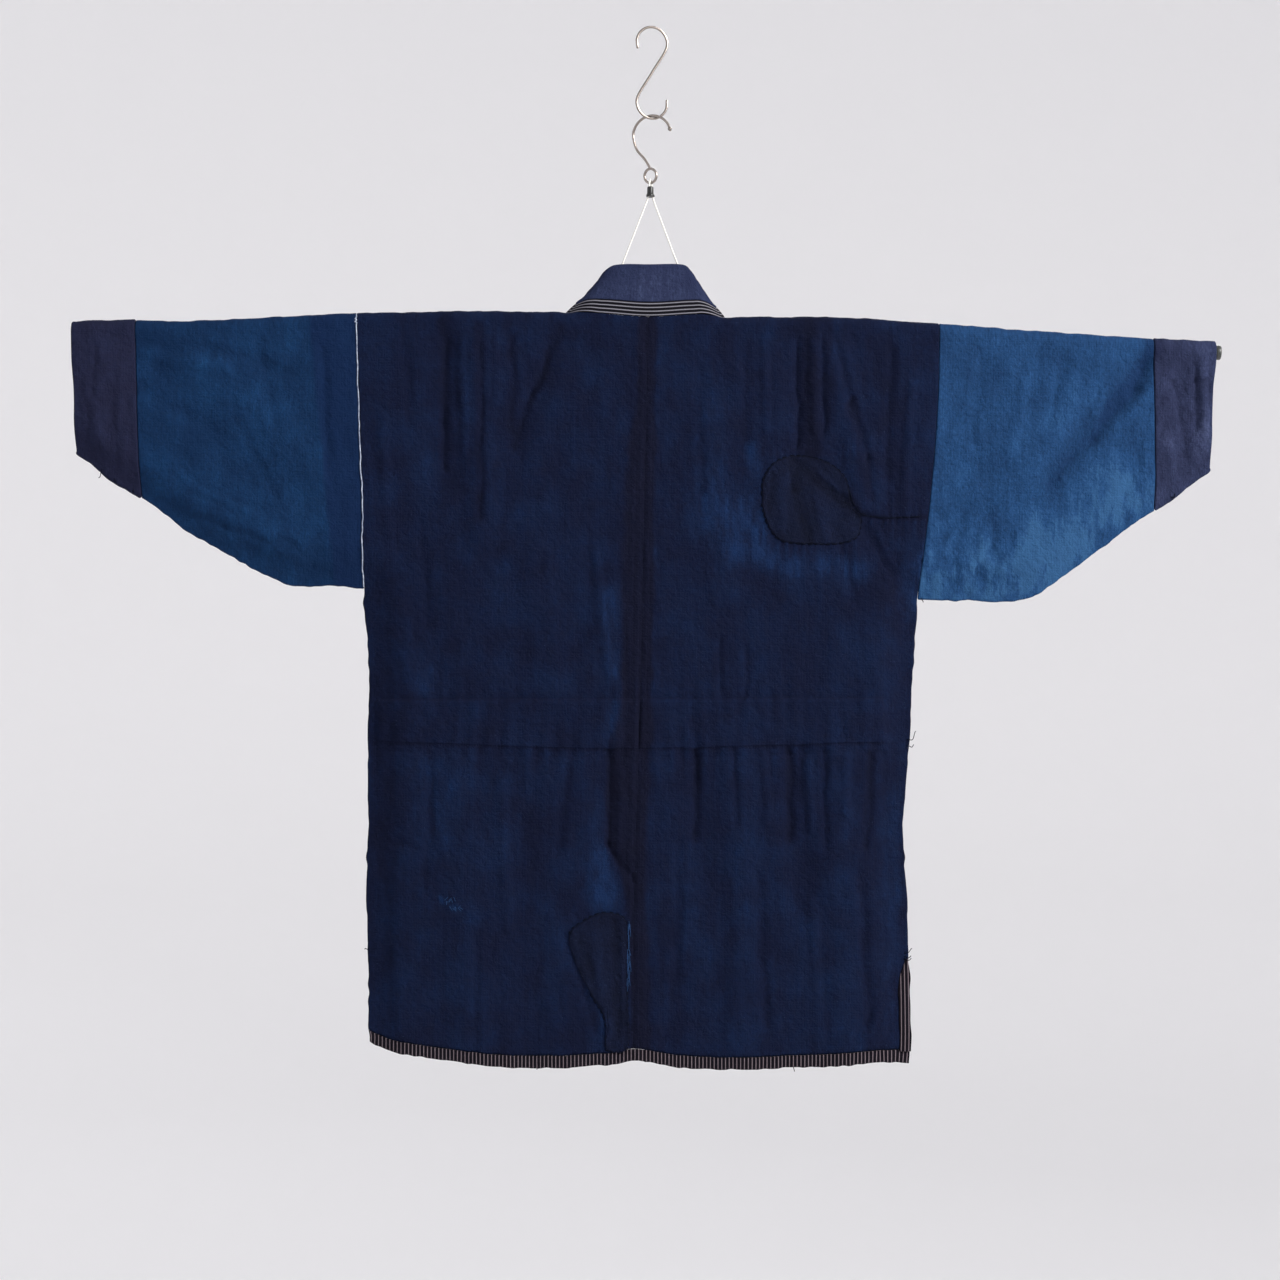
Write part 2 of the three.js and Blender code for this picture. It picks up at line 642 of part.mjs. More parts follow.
function sleeveRing(side, startX, endX, along, wall) {
  const xAt = (down) => lerp(startX(down), endX(down), along);
  const topX = xAt(shoulderDown(xAt(sleeveTopLevel)));
  const bottomX = xAt(undersideDown(xAt(sleeveFoldLevel)));
  const axis = rodAxisDown(topX);
  const bottom = undersideDown(bottomX) - clothWall - foldRadius;
  const ring = [];
  const add = (y, down, outY, outDown) => {
    const inner = new THREE.Vector3(xAt(down), y, -down);
    const normal = new THREE.Vector3(0, outY, -outDown).normalize();
    ring.push({ inner, outer: inner.clone().addScaledVector(normal, wall) });
  };
  const addSide = (face, facing, share) => {
    const down = lerp(axis, bottom, share);
    const x = xAt(down);
    const away = undersideDown(bottomX) - down;
    const fade = smooth(away / seamClosing) * smooth((down - axis) / foldFade)
      * smooth(Math.abs(x - sideX[side](down)) / foldFade);
    const depth = halfDepth(x, down, away, foldRadius) + foldHeight(face, x, down) * fade;
    add(facing * depth, down, facing, 0);
  };
  const addOverRod = (facing, degrees) => {
    const angle = THREE.MathUtils.degToRad(degrees);
    const [outY, outDown] = [facing * Math.cos(angle), -Math.sin(angle)];
    add(clothOverRod * outY, axis + clothOverRod * outDown, outY, outDown);
  };
  for (const degrees of overRodAngles) addOverRod(-1, degrees);
  for (const share of sideShares) addSide('back', -1, share);
  for (const degrees of foldAngles) {
    const angle = THREE.MathUtils.degToRad(degrees);
    const [outY, outDown] = [-Math.cos(angle), Math.sin(angle)];
    add(foldRadius * outY, bottom + foldRadius * outDown, outY, outDown);
  }
  for (const share of sideShares.slice().reverse()) addSide('front', 1, share);
  for (const degrees of overRodAngles.slice(1).reverse()) addOverRod(1, degrees);
  return ring;
}

function sleeveTube(side, startX, endX, steps, wall) {
  const rings = Array.from({ length: steps + 1 }, (_, i) => (
    sleeveRing(side, startX, endX, i / steps, wall)
  ));
  return wallGeometry({
    inner: rings.map((ring) => ring.map((point) => point.inner)),
    outer: rings.map((ring) => ring.map((point) => point.outer)),
  }, true);
}

for (const side of ['left', 'right']) {
  const gap = outwardX[side] * seamGap;
  const armhole = (down) => sideX[side](down) + gap;
  const sleeveEnd = cuffSeamX[side];
  const cuffStart = (down) => cuffSeamX[side](down) + gap;
  const sleeveCloth = side === 'left' ? cloths.sleeveBlue : cloths.fadedBlue;
  const cuffCloth = side === 'left' ? cloths.cuffPurple : cloths.cuffViolet;
  addPiece(`sleeve_${side}`, sleeveTube(side, armhole, sleeveEnd, sleeveSteps, clothWall), sleeveCloth);
  addPiece(`cuff_${side}`, sleeveTube(side, cuffStart, cuffEndX[side], cuffSteps, cuffWall), cuffCloth);
}

// Collar and the striped band at its foot, on one strip from the left hem round the neck to the right

const shoulderTurns = [0, 0.25, 0.5, 0.75, 1];

function freeEdgeAt(side, turn) {
  const [x, y, down] = ['x', 'y', 'down'].map((key) => curveOf(collarTurns[side], 'turn', key)(turn));
  return new THREE.Vector3(x, y, -down);
}

function sideStations(side) {
  const toCentre = -outwardX[side];
  const stations = [];
  for (const row of [0, ...collarRows]) {
    const seam = bodyPoint(side, 'front', 0, row);
    const down = -seam.z;
    seam.x += toCentre * seamGap;
    const free = new THREE.Vector3(centreX(down) - toCentre * openingFree(down), seam.y, seam.z);
    stations.push({ seam, normal: new THREE.Vector3(0, 1, 0), free });
  }
  for (const turn of shoulderTurns) {
    const seam = bodyPoint(side, 'front', 0, 3 + turn);
    const angle = turn * Math.acos(seamGap / 2 / clothOverRod);
    const normal = new THREE.Vector3(0, Math.cos(angle), Math.sin(angle));
    seam.x += toCentre * seamGap;
    stations.push({ seam, normal, free: freeEdgeAt(side, turn) });
  }
  const grid = backGrids[side];
  for (let i = neckShares.length - 2; i > 0; i -= 1) {
    const column = grid.inner[i];
    const end = column.at(-1);
    const upward = end.clone().sub(column.at(-2)).normalize();
    const flank = smooth((neckShares[i] - flankStart) / flankEase) * neckFlankGap;
    const seam = end.clone().addScaledVector(upward, seamGap + flank);
    const free = freeEdgeAt(side, 2 - neckShares[i]);
    stations.push({ seam, normal: grid.normals[i].at(-1), free });
  }
  return stations;
}

const centreEnd = backGrids.left.inner[0].at(-1);
const centreStation = {
  seam: new THREE.Vector3(centreX(shoulderLevel), centreEnd.y, centreEnd.z + seamGap),
  normal: new THREE.Vector3(0, -1, 0),
  free: freeEdgeAt('left', 2),
};
const leftStations = sideStations('left');
const rightStations = sideStations('right').reverse();
const stations = [...leftStations, centreStation, ...rightStations];

// The collar is parted at the rod, below the turn on each side, as the fronts are.
const frontCount = collarRows.length + 1;

function loweredStation({ seam, normal, free }) {
  const lower = new THREE.Vector3(0, 0, -seamGap);
  return { seam: seam.clone().add(lower), normal, free: free.clone().add(lower) };
}

const collarParts = {
  collar: stations.slice(frontCount, stations.length - frontCount),
  collar_front_left: [...leftStations.slice(0, frontCount), loweredStation(leftStations[frontCount])],
  collar_front_right: [
    loweredStation(rightStations.at(-1 - frontCount)),
    ...rightStations.slice(-frontCount),
  ],
};

// A strip of the collar between two distances from its seam; Infinity reaches the free edge.
function collarStrip(stretch, from, to, cells, wall) {
  const at = (station, distance) => {
    const length = station.seam.distanceTo(station.free);
    return station.seam.clone().lerp(station.free, Math.min(distance / length, 1));
  };
  const distances = (station) => {
    const end = Math.min(to, station.seam.distanceTo(station.free));
    return Array.from({ length: cells + 1 }, (_, i) => lerp(from, end, i / cells));
  };
  const inner = stretch.map((station) => distances(station).map((far) => at(station, far)));
  const outer = inner.map((row, i) => {
    const before = inner[Math.max(i - 1, 0)];
    const after = inner[Math.min(i + 1, inner.length - 1)];
    return row.map((point, j) => {
      const along = after[j].clone().sub(before[j]);
      const across = stretch[i].free.clone().sub(stretch[i].seam);
      const own = along.cross(across).normalize();
      const normal = from === 0 && j === 0 ? stretch[i].normal : own;
      return point.clone().addScaledVector(normal, wall);
    });
  });
  return { inner, outer };
}

const baseStrip = collarStrip(stations, 0, baseBandWidth, 1, clothWall);
addPiece('collar_base', wallGeometry(baseStrip), cloths.stripedLining);
for (const [part, stretch] of Object.entries(collarParts)) {
  const strip = collarStrip(stretch, baseBandWidth + bandGap, Infinity, 2, collarWall);
  addPiece(part, wallGeometry(strip), cloths.collarViolet);
}

// Hanger: a rod bowed by the jacket's weight, its end caps, a cord, a cord lock and two wire hooks

function circleShape(radius, sides) {
  const corners = Array.from({ length: sides }, (_, i) => {
    const angle = (i * 2 * Math.PI) / sides;
    return new THREE.Vector2(radius * Math.cos(angle), radius * Math.sin(angle));
  });
  return new THREE.Shape(corners);
}

function roundBar(points, radius, sides, steps) {
  const path = new THREE.CatmullRomCurve3(points, false, 'centripetal');
  return new THREE.ExtrudeGeometry(circleShape(radius, sides), { steps, extrudePath: path });
}

const rodEnds = { left: -603, right: 593 };
const rodPointCount = 12;
const rodPoint = (x) => new THREE.Vector3(x, 0, -rodAxisDown(x));
const rodPoints = Array.from({ length: rodPointCount + 1 }, (_, i) => (
  rodPoint(lerp(rodEnds.left, rodEnds.right, i / rodPointCount))
));
const cordSeatX = { left: -55, right: 51 };

// The cord comes up from one seat in the rod, over the eye's lowest wire and down to the other.
const cordLoop = [
  { x: -4.9, y: -1.6, down: 183 },
  { x: -3.8, y: -2.3, down: 178 },
  { x: -2.8, y: -2.9, down: 170 },
  { x: -2.6, y: -2.9, down: 165 },
  { x: -1.6, y: 0.4, down: 160.8 },
  { x: -0.6, y: 3.7, down: 165 },
  { x: -0.4, y: 3.5, down: 170 },
  { x: 0.6, y: 2.3, down: 178 },
  { x: 1.7, y: 1.6, down: 183 },
].map((row) => new THREE.Vector3(row.x, row.y, -row.down));
const cordLegs = [
  { inside: cordLoop[1], exit: cordLoop[0], seatX: cordSeatX.left },
  { inside: cordLoop.at(-2), exit: cordLoop.at(-1), seatX: cordSeatX.right },
];

function straightBar(start, end, radius, sides) {
  const extrudePath = new THREE.LineCurve3(start, end);
  return new THREE.ExtrudeGeometry(circleShape(radius, sides), { steps: 1, extrudePath });
}

function cordLegBar({ inside, exit, seatX }, radius, deeper = 0) {
  const seat = new THREE.Vector3(seatX, 0, -rodAxisDown(seatX) + rodRadius - rodSeatDepth);
  const direction = seat.clone().sub(exit).normalize();
  const start = exit.clone().lerp(inside, 0.3);
  return straightBar(start, seat.addScaledVector(direction, deeper), radius, 8);
}

function rodWithSeats() {
  let rod = toSolid(roundBar(rodPoints, rodRadius, 12, 22));
  for (const leg of cordLegs) {
    rod = rod.subtract(toSolid(cordLegBar(leg, cordRadius + seamGap, seamGap)));
  }
  return fromSolid(rod);
}

addPiece('hanger_rod', rodWithSeats(), hard.rodWood);

for (const side of ['left', 'right']) {
  const x = rodEnds[side];
  const nearby = rodPoint(x - outwardX[side] * rodCapLength);
  const direction = rodPoint(x).sub(nearby).normalize();
  const cap = new THREE.CylinderGeometry(rodCapRadius, rodCapRadius, rodCapLength, 16);
  cap.rotateZ(Math.PI / 2);
  cap.rotateY(-Math.atan2(direction.z, direction.x));
  const centre = rodPoint(x).addScaledVector(direction, rodCapLength / 2 + seamGap);
  cap.translate(centre.x, centre.y, centre.z);
  addPiece(`rod_cap_${side}`, cap, hard.blackPlastic);
}

// S-hook: two bows of one radius joined by a slanting shank.
const bowRadius = 17;
const upperBowDown = bowRadius - wireRadius;
const lowerBowDown = 79;

function bowPoints(centreDown, fromDegrees, toDegrees, count, radius) {
  return Array.from({ length: count }, (_, i) => {
    const angle = THREE.MathUtils.degToRad(lerp(fromDegrees, toDegrees, i / (count - 1)));
    return new THREE.Vector3(radius * Math.cos(angle), 0, radius * Math.sin(angle) - centreDown);
  });
}

const sHookPoints = [
  ...bowPoints(upperBowDown, 200, -10, 8, bowRadius),
  new THREE.Vector3(0, 0, -(upperBowDown + lowerBowDown) / 2),
  ...bowPoints(lowerBowDown, 170, 370, 8, bowRadius),
];
const sHook = roundBar(sHookPoints, wireRadius, 8, 38);
sHook.rotateZ(hookTurn);
addPiece('s_hook', sHook, hard.steelWire);

// Hanger hook: its bow rests in the S-hook's lower bow, and its eye takes the cord.
const hangerBowRadius = 21;
const hangerBowDown = lowerBowDown + bowRadius - 2 * wireRadius - seamGap + hangerBowRadius;
const eye = { x: -1.6, down: 156.9, halfWidth: 6.6, halfHeight: 7.6 };
const bowDegrees = { tip: 12, shank: 175 };
const shankPoints = [
  { x: -17, down: 128 },
  { x: -8, down: 139 },
  { x: eye.x, down: eye.down - eye.halfHeight },
];
const tipBallScale = 1.6;

function hangerHookSolid() {
  const bow = bowPoints(hangerBowDown, bowDegrees.tip, bowDegrees.shank, 9, hangerBowRadius);
  const shank = shankPoints.map((row) => new THREE.Vector3(row.x, 0, -row.down));
  const wire = roundBar([...bow, ...shank], wireRadius, 8, 28);
  const ring = new THREE.TorusGeometry(eye.halfWidth, wireRadius, 8, 16);
  ring.rotateX(Math.PI / 2);
  ring.scale(1, 1, eye.halfHeight / eye.halfWidth);
  ring.translate(eye.x, 0, -eye.down);
  const ball = new THREE.SphereGeometry(wireRadius * tipBallScale, 10, 8);
  ball.translate(bow[0].x, 0, bow[0].z);
  return toSolid(wire).add(toSolid(ring)).add(toSolid(ball));
}

const hangerHook = fromSolid(hangerHookSolid());
hangerHook.rotateZ(-hookTurn);
addPiece('hanger_hook', hangerHook, hard.steelWire);

// Cord in one piece, its loop and its two straight legs.
function cordSolid(radius) {
  const loop = toSolid(roundBar(cordLoop, radius, 8, 28));
  return cordLegs.reduce((solid, leg) => solid.add(toSolid(cordLegBar(leg, radius))), loop);
}

addPiece('hanger_cord', fromSolid(cordSolid(cordRadius)), hard.whiteCord);

// Cord lock: an oval barrel with a wider foot, and a channel for both strands.
const lockProfile = [
  { radius: 0, down: 179.5 },
  { radius: 4.4, down: 179.5 },
  { radius: 4.6, down: 178.5 },
  { radius: 4.4, down: 177 },
  { radius: 3.6, down: 176 },
  { radius: 3.5, down: 170 },
  { radius: 3, down: 168.5 },
  { radius: 0, down: 168.5 },
];
const lockDepthScale = 1.5;

function cordLockSolid() {
  const profile = lockProfile.map((row) => new THREE.Vector2(row.radius, -row.down));
  const barrel = new THREE.LatheGeometry(profile, 14);
  barrel.rotateX(Math.PI / 2);
  barrel.scale(1, lockDepthScale, 1);
  barrel.translate(eye.x, 0, 0);
  return toSolid(barrel).subtract(cordSolid(cordRadius + seamGap));
}

addPiece('cord_lock', fromSolid(cordLockSolid()), hard.blackPlastic);

export default jacket;
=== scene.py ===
"""Boro jacket hung on a rod, seen from the back: the cloth, its sewing and the hanger's finish.

Lengths below are millimetres, and `down` is the distance below the hanging point.
"""

import math

import bpy
import numpy as np
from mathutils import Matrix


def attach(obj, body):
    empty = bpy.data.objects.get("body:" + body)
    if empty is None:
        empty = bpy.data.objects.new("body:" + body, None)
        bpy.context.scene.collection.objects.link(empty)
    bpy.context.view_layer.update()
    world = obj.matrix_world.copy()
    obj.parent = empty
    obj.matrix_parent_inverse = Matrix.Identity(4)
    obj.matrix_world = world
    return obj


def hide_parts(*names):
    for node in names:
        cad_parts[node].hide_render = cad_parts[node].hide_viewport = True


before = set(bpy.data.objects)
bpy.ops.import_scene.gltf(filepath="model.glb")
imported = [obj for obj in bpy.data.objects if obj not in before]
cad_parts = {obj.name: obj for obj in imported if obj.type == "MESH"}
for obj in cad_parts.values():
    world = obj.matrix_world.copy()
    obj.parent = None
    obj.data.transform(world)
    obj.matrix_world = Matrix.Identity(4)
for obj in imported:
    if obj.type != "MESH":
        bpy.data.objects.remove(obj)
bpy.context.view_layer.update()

MM = 0.001
ROOT = "root"

# The garment's sizes

CLOTH_WALL = 2.0
CUFF_WALL = 3.0
COLLAR_WALL = 3.0
HEM_BAND_WALL = 1.6
SEAM_GAP = 0.3
BODY_DEPTH = 10.5
SEAM_CLOSING = 45.0
DEPTH_DROP = 120.0
OVER_ROD = 8.1
ROD_RADIUS = 7.5
VENT_TOP = 975.0
VENT_GAP = 3.0
TUCK_HEIGHT = 1.6
BASE_BAND = 14.5
BAND_GAP = 0.8
FRONT_HEM_LIFT = 3.0
SHOULDER_LEVEL = 305.0
HEM_LEVEL = 1100.0
HEM_BAND_SHARE = 0.036
EDGE_ROUND = 1.3

SIDES = ("left", "right")
OUTWARD = {"left": -1.0, "right": 1.0}
FACING = {"back": -1.0, "front": 1.0}
NECK_HALF = {"left": 87.8, "right": 82.6}
UNDERARM = {"left": 596.0, "right": 607.0}


def table(columns, rows):
    """A table with named columns."""
    return {name: np.array([row[i] for row in rows], float) for i, name in enumerate(columns)}


SHOULDER_LINE = table(("x", "down"), [
    (-617, 314), (-553, 312), (-500, 312.5), (-426, 309.5), (-341, 305.5), (-257, 303),
    (-108, 302.6), (-4, 305), (83, 308), (190, 308.5), (274, 313), (380, 321), (464, 327),
    (549, 332.5), (600, 335),
])
SLEEVE_UNDERSIDE = table(("x", "down"), [
    (-612, 451), (-596, 463), (-574, 481), (-532, 506), (-490, 537), (-447, 561), (-405, 584),
    (-384, 591), (-341, 593), (-306, 596), (282, 607), (337, 608), (380, 609), (402, 605),
    (422, 593), (464, 562), (507, 530), (549, 502), (592, 470), (600, 464),
])
SIDE_EDGES = table(("down", "left", "right"), [
    (305, -314, 305.5), (400, -310.5, 303), (500, -307.5, 295), (600, -306, 283),
    (670, -300.5, 277.5), (740, -300.5, 273.5), (860, -301.5, 266.5), (960, -301.5, 271),
    (1065, -300, 273), (1100, -298.5, 272.5),
])
CENTRE_SEAM = table(("down", "x"), [
    (305, -4.2), (500, -8), (715, -12.7), (927, -19), (1100, -20),
])
HEM_LINE = table(("x", "down"), [
    (-300, 1076), (-278, 1086), (-235, 1094), (-172, 1102), (-119, 1104), (-45, 1101),
    (-20, 1096), (19, 1102), (72, 1106), (168, 1103), (252, 1098), (273, 1099),
])
CUFF_LINES = table(("down", "left_end", "left_seam", "right_seam", "right_end"), [
    (312, -617, -549, 533, 599), (352, -616, -548, 533, 599), (385, -613.5, -547, 533, 595),
    (440, -612.5, -545, 533.5, 593.5), (495, -607.5, -542.5, 534, 593.5),
])
TUCK_LINES = table(("x", "lower", "upper"), [(-300, 758, 714), (-45, 766, 713), (250, 759, 712)])
TUCK_START = -294.0
TUCK_END = 250.0
BACK_NECKLINE = table(("x", "down"), [
    (-92, 302.5), (-55, 304.5), (-4, 308), (51, 305.5), (78, 307.5),
])
FRONT_OPENING = table(("down", "seam", "free"), [
    (305, 85.2, 47), (345, 82, 31), (400, 79.5, 22.5), (520, 76, 17), (1100, 70, 12),
])
COLLAR_TURNS = {
    "left": table(("turn", "x", "y", "down"), [
        (0, -46, 9.6, 303), (0.5, -52, 6, 287), (1, -56, 1, 273), (1.3, -45, -3.2, 256),
        (1.55, -34, -5, 252), (2, -3, -6, 252),
    ]),
    "right": table(("turn", "x", "y", "down"), [
        (0, 37, 9.6, 306), (0.5, 42, 6, 289), (1, 46, 1, 272), (1.3, 38, -3.2, 257),
        (1.55, 31, -5, 252), (2, -3, -6, 252),
    ]),
}

# Folds and creases: ridges (or troughs) from one end to the other, with a half width and a height

FOLD_COLUMNS = ("x1", "down1", "x2", "down2", "half", "height")
LARGE_FOLDS = {
    "back": table(FOLD_COLUMNS, [
        (-222, 318, -221, 480, 26, -2.2), (-183, 315, -180, 540, 24, 2.4),
        (-98, 322, -146, 445, 24, -2), (-262, 560, -228, 700, 30, -2),
        (-120, 560, -105, 700, 28, 1.6), (-46, 775, -42, 890, 24, -2.2),
        (-205, 780, -190, 1090, 32, 2.2), (-130, 820, -128, 1098, 28, -2),
        (153, 318, 156, 456, 24, -2.4), (187, 318, 228, 505, 24, 2.4),
        (60, 420, 78, 600, 30, 1.8), (226, 530, 268, 600, 24, -2.2),
        (45, 775, 50, 900, 22, -2.2), (90, 772, 98, 1095, 24, 2.4),
        (152, 772, 158, 930, 24, -2.6), (196, 775, 206, 1092, 26, 2.4),
        (238, 770, 236, 880, 22, -2), (-546, 334, -430, 476, 30, -2.6),
        (-522, 500, -380, 555, 24, 2), (-470, 345, -360, 470, 30, 2.2),
        (528, 350, 425, 486, 26, -2.8), (480, 350, 400, 470, 26, 2.4),
        (300, 575, 372, 560, 24, -2), (-585, 340, -590, 440, 20, 1.6),
        (584, 345, 583, 450, 18, 2), (562, 350, 566, 470, 18, -1.8),
    ]),
    "front": table(FOLD_COLUMNS, [
        (-200, 330, -185, 560, 32, 2.4), (-245, 620, -225, 980, 34, -2.4),
        (-150, 700, -155, 1090, 32, 2.2), (170, 330, 190, 520, 32, -2.4),
        (215, 600, 200, 900, 34, 2.4), (130, 720, 125, 1090, 32, -2.2),
        (-530, 350, -410, 500, 32, 2.4), (520, 355, 420, 500, 30, -2.4),
    ]),
}
CREASES = {
    "back": table(FOLD_COLUMNS, [
        (-219, 314, -222, 470, 6.5, -1.3), (-182, 314, -181, 520, 5.5, -1.1),
        (-148, 323, -149, 430, 8, -0.9), (-97, 323, -128, 390, 9, -1.1),
        (-128, 390, -146, 445, 9, -0.9), (-203, 330, -200, 450, 7, 0.8),
        (-164, 318, -166, 402, 6, 0.7), (-262, 330, -258, 420, 8, -0.7),
        (-285, 420, -276, 560, 8, 0.7), (-246, 520, -238, 640, 9, -0.8),
        (-60, 560, -44, 700, 8, 0.9), (-46, 770, -45, 868, 6, -1.2),
        (-45, 868, -20, 905, 6, -1.1), (-34, 790, -33, 872, 5, 0.8),
        (-90, 790, -100, 880, 8, -0.8), (-160, 800, -152, 960, 9, 0.8),
        (-235, 800, -240, 900, 9, -0.9), (-272, 900, -268, 1060, 9, 0.8),
        (-92, 960, -60, 1070, 8, -0.8), (-186, 960, -190, 1080, 8, -0.7),
        (154, 312, 155, 450, 5.5, -1.5), (171, 314, 172, 430, 6, 0.9),
        (181, 312, 183, 430, 5.5, -1.3), (191, 323, 212, 398, 7, -1.1),
        (212, 398, 228, 462, 7, -1.2), (228, 462, 232, 505, 7, -1.0),
        (120, 330, 122, 430, 7, 0.8), (98, 340, 100, 455, 8, -0.7),
        (255, 340, 248, 480, 8, -0.9), (276, 380, 268, 520, 7, 0.8),
        (50, 360, 52, 520, 9, -0.7), (225, 530, 246, 571, 5, -0.6),
        (246, 571, 282, 606, 5, -0.6), (233, 524, 256, 566, 5, 0.7),
        (200, 548, 214, 610, 8, -0.8), (71, 655, 72, 708, 5, -1.1), (99, 655, 99, 708, 6, -1.1),
        (46, 772, 47, 865, 7, -1.3), (88, 772, 90, 850, 6, -1.0), (120, 772, 124, 842, 6, 0.9),
        (147, 772, 146, 862, 8, -1.4), (166, 775, 168, 852, 6, 1.0), (183, 772, 184, 872, 7, -1.2),
        (205, 772, 206, 840, 6, 0.8), (232, 775, 226, 870, 7, -1.3), (247, 770, 248, 850, 6, -1.0),
        (30, 870, 26, 1010, 9, -0.8), (112, 900, 120, 1060, 9, -0.8),
        (170, 930, 178, 1080, 9, 0.9), (222, 900, 230, 1060, 9, -0.9),
        (262, 990, 214, 1078, 7, -0.8), (250, 1000, 232, 1060, 6, 0.8), (268, 1012, 242, 1088, 6, -0.8),
        (245, 932, 196, 956, 6, -0.6), (-296, 862, -250, 874, 6, -0.7), (-296, 950, -262, 940, 6, 0.6),
        (-540, 326, -470, 342, 17, -1.5), (-470, 342, -386, 366, 14, -1.3),
        (-545, 380, -470, 430, 12, -0.9), (-536, 345, -450, 366, 10, 0.9), (-525, 501, -454, 533, 7, -1.2),
        (-454, 533, -377, 554, 7, -1.1), (-500, 478, -420, 522, 7, 0.8),
        (-420, 330, -400, 420, 9, -0.7), (-350, 340, -342, 480, 8, -0.9),
        (-396, 560, -330, 575, 8, 0.7), (-440, 420, -400, 500, 8, -0.7),
        (531, 334, 514, 386, 15, -1.9), (514, 386, 470, 436, 12, -1.7),
        (464, 440, 422, 482, 9, -1.2), (512, 338, 470, 410, 7, 1.0),
        (440, 350, 420, 420, 9, -0.9), (400, 360, 380, 450, 9, 0.8),
        (350, 350, 340, 440, 9, -0.8), (520, 440, 500, 500, 8, -0.8),
        (286, 570, 316, 588, 5, -1.0), (300, 585, 340, 576, 6, 0.9), (318, 566, 350, 592, 5, -0.9),
        (335, 590, 380, 596, 6, -0.8), (286, 594, 322, 600, 5, 0.8), (360, 560, 396, 585, 7, -0.7),
        (-590, 340, -598, 440, 6, -0.8), (-566, 360, -560, 470, 7, 0.8),
        (-600, 380, -580, 450, 6, 0.6), (586, 340, 584, 375, 4, 1.2), (584, 375, 586, 440, 4, 1.3),
        (577, 345, 577, 430, 5, -1.3), (553, 380, 570, 470, 6, -0.8), (545, 430, 556, 490, 6, 0.8),
    ]),
    "front": table(FOLD_COLUMNS, [
        (-196, 320, -190, 500, 9, -1.1), (-240, 330, -236, 470, 8, 0.9),
        (-150, 330, -160, 480, 9, -0.8), (-270, 560, -250, 720, 9, -1.0),
        (-210, 640, -204, 860, 9, 0.8), (-130, 560, -126, 760, 9, -0.8),
        (-170, 820, -176, 1080, 9, -0.9), (-260, 820, -262, 1040, 9, 0.9),
        (-110, 860, -112, 1090, 8, 0.7), (160, 320, 168, 470, 9, -1.1), (206, 330, 214, 450, 8, 0.9),
        (120, 340, 118, 520, 8, -0.8), (245, 540, 236, 720, 9, -1.0), (180, 640, 184, 860, 9, 0.8),
        (100, 620, 98, 800, 8, -0.8), (150, 840, 146, 1080, 9, -0.9), (228, 820, 236, 1040, 9, 0.9),
        (-520, 340, -450, 430, 9, -1.1), (-460, 500, -390, 560, 8, 0.9),
        (-380, 340, -360, 450, 9, -0.8), (510, 345, 450, 430, 9, -1.1), (440, 480, 390, 560, 8, 0.9),
        (360, 350, 346, 450, 9, -0.8), (-585, 340, -590, 430, 6, -0.9), (572, 350, 570, 450, 6, -0.9),
    ]),
}

# Colour places: lighter stretches of the dye, and darker stretches, most of them painted shade along the
# troughs of the creases and folds; in the same columns as the folds

TONES = {
    "back": table(FOLD_COLUMNS, [
        (-52, 880, -48, 925, 26, 0.28), (-42, 600, -40, 760, 15, 0.20), (-235, 668, -235, 688, 34, 0.14),
        (-236, 800, -234, 856, 30, 0.14), (-222, 927, -208, 932, 7, 0.38),
        (-60, 1020, -46, 1080, 24, 0.15), (-110, 930, -104, 1010, 26, 0.11),
        (-250, 340, -240, 470, 26, 0.06), (-285, 640, -285, 900, 20, -0.13),
        (-184, 312, -183, 520, 8, -0.24), (-221, 314, -222, 470, 8, -0.20),
        (-148, 325, -150, 430, 7, -0.18), (-97, 323, -146, 445, 8, -0.20),
        (169, 314, 170, 450, 15, -0.30), (187, 314, 190, 420, 8, -0.20), (212, 398, 230, 500, 9, -0.22),
        (66, 500, 100, 550, 44, 0.26), (108, 450, 112, 540, 15, 0.16), (120, 564, 214, 580, 26, 0.19),
        (60, 330, 62, 440, 26, 0.08), (248, 340, 262, 520, 24, -0.16), (240, 560, 262, 640, 24, -0.14),
        (50, 640, 66, 700, 26, 0.10), (200, 640, 230, 700, 30, 0.07), (40, 880, 60, 1000, 26, 0.08),
        (140, 900, 160, 1060, 30, 0.05), (250, 820, 254, 1060, 16, 0.12), (18, 960, 24, 1070, 18, -0.16),
        (147, 772, 146, 862, 8, -0.22), (46, 772, 47, 865, 7, -0.20), (230, 772, 226, 870, 8, -0.22),
        (-46, 770, -45, 868, 6, -0.36), (-45, 868, -20, 905, 6, -0.36),
        (-560, 330, -500, 420, 40, 0.05), (-470, 380, -400, 520, 60, 0.07),
        (-380, 560, -330, 590, 20, -0.16),
        (500, 500, 430, 560, 60, 0.42), (300, 380, 330, 480, 30, 0.05), (470, 352, 380, 342, 16, 0.06),
        (532, 340, 464, 440, 14, -0.24), (400, 575, 300, 590, 56, 0.42), (300, 560, 320, 600, 20, -0.08),
    ]),
    "front": table(FOLD_COLUMNS, [
        (-200, 420, -190, 560, 50, 0.25), (-240, 760, -230, 900, 44, 0.22),
        (-130, 900, -125, 1040, 36, 0.2),
        (190, 460, 200, 600, 50, 0.25), (210, 800, 200, 960, 44, 0.22), (110, 640, 112, 800, 36, -0.2),
        (-470, 380, -400, 520, 60, 0.14), (470, 420, 420, 520, 50, 0.2),
    ]),
}
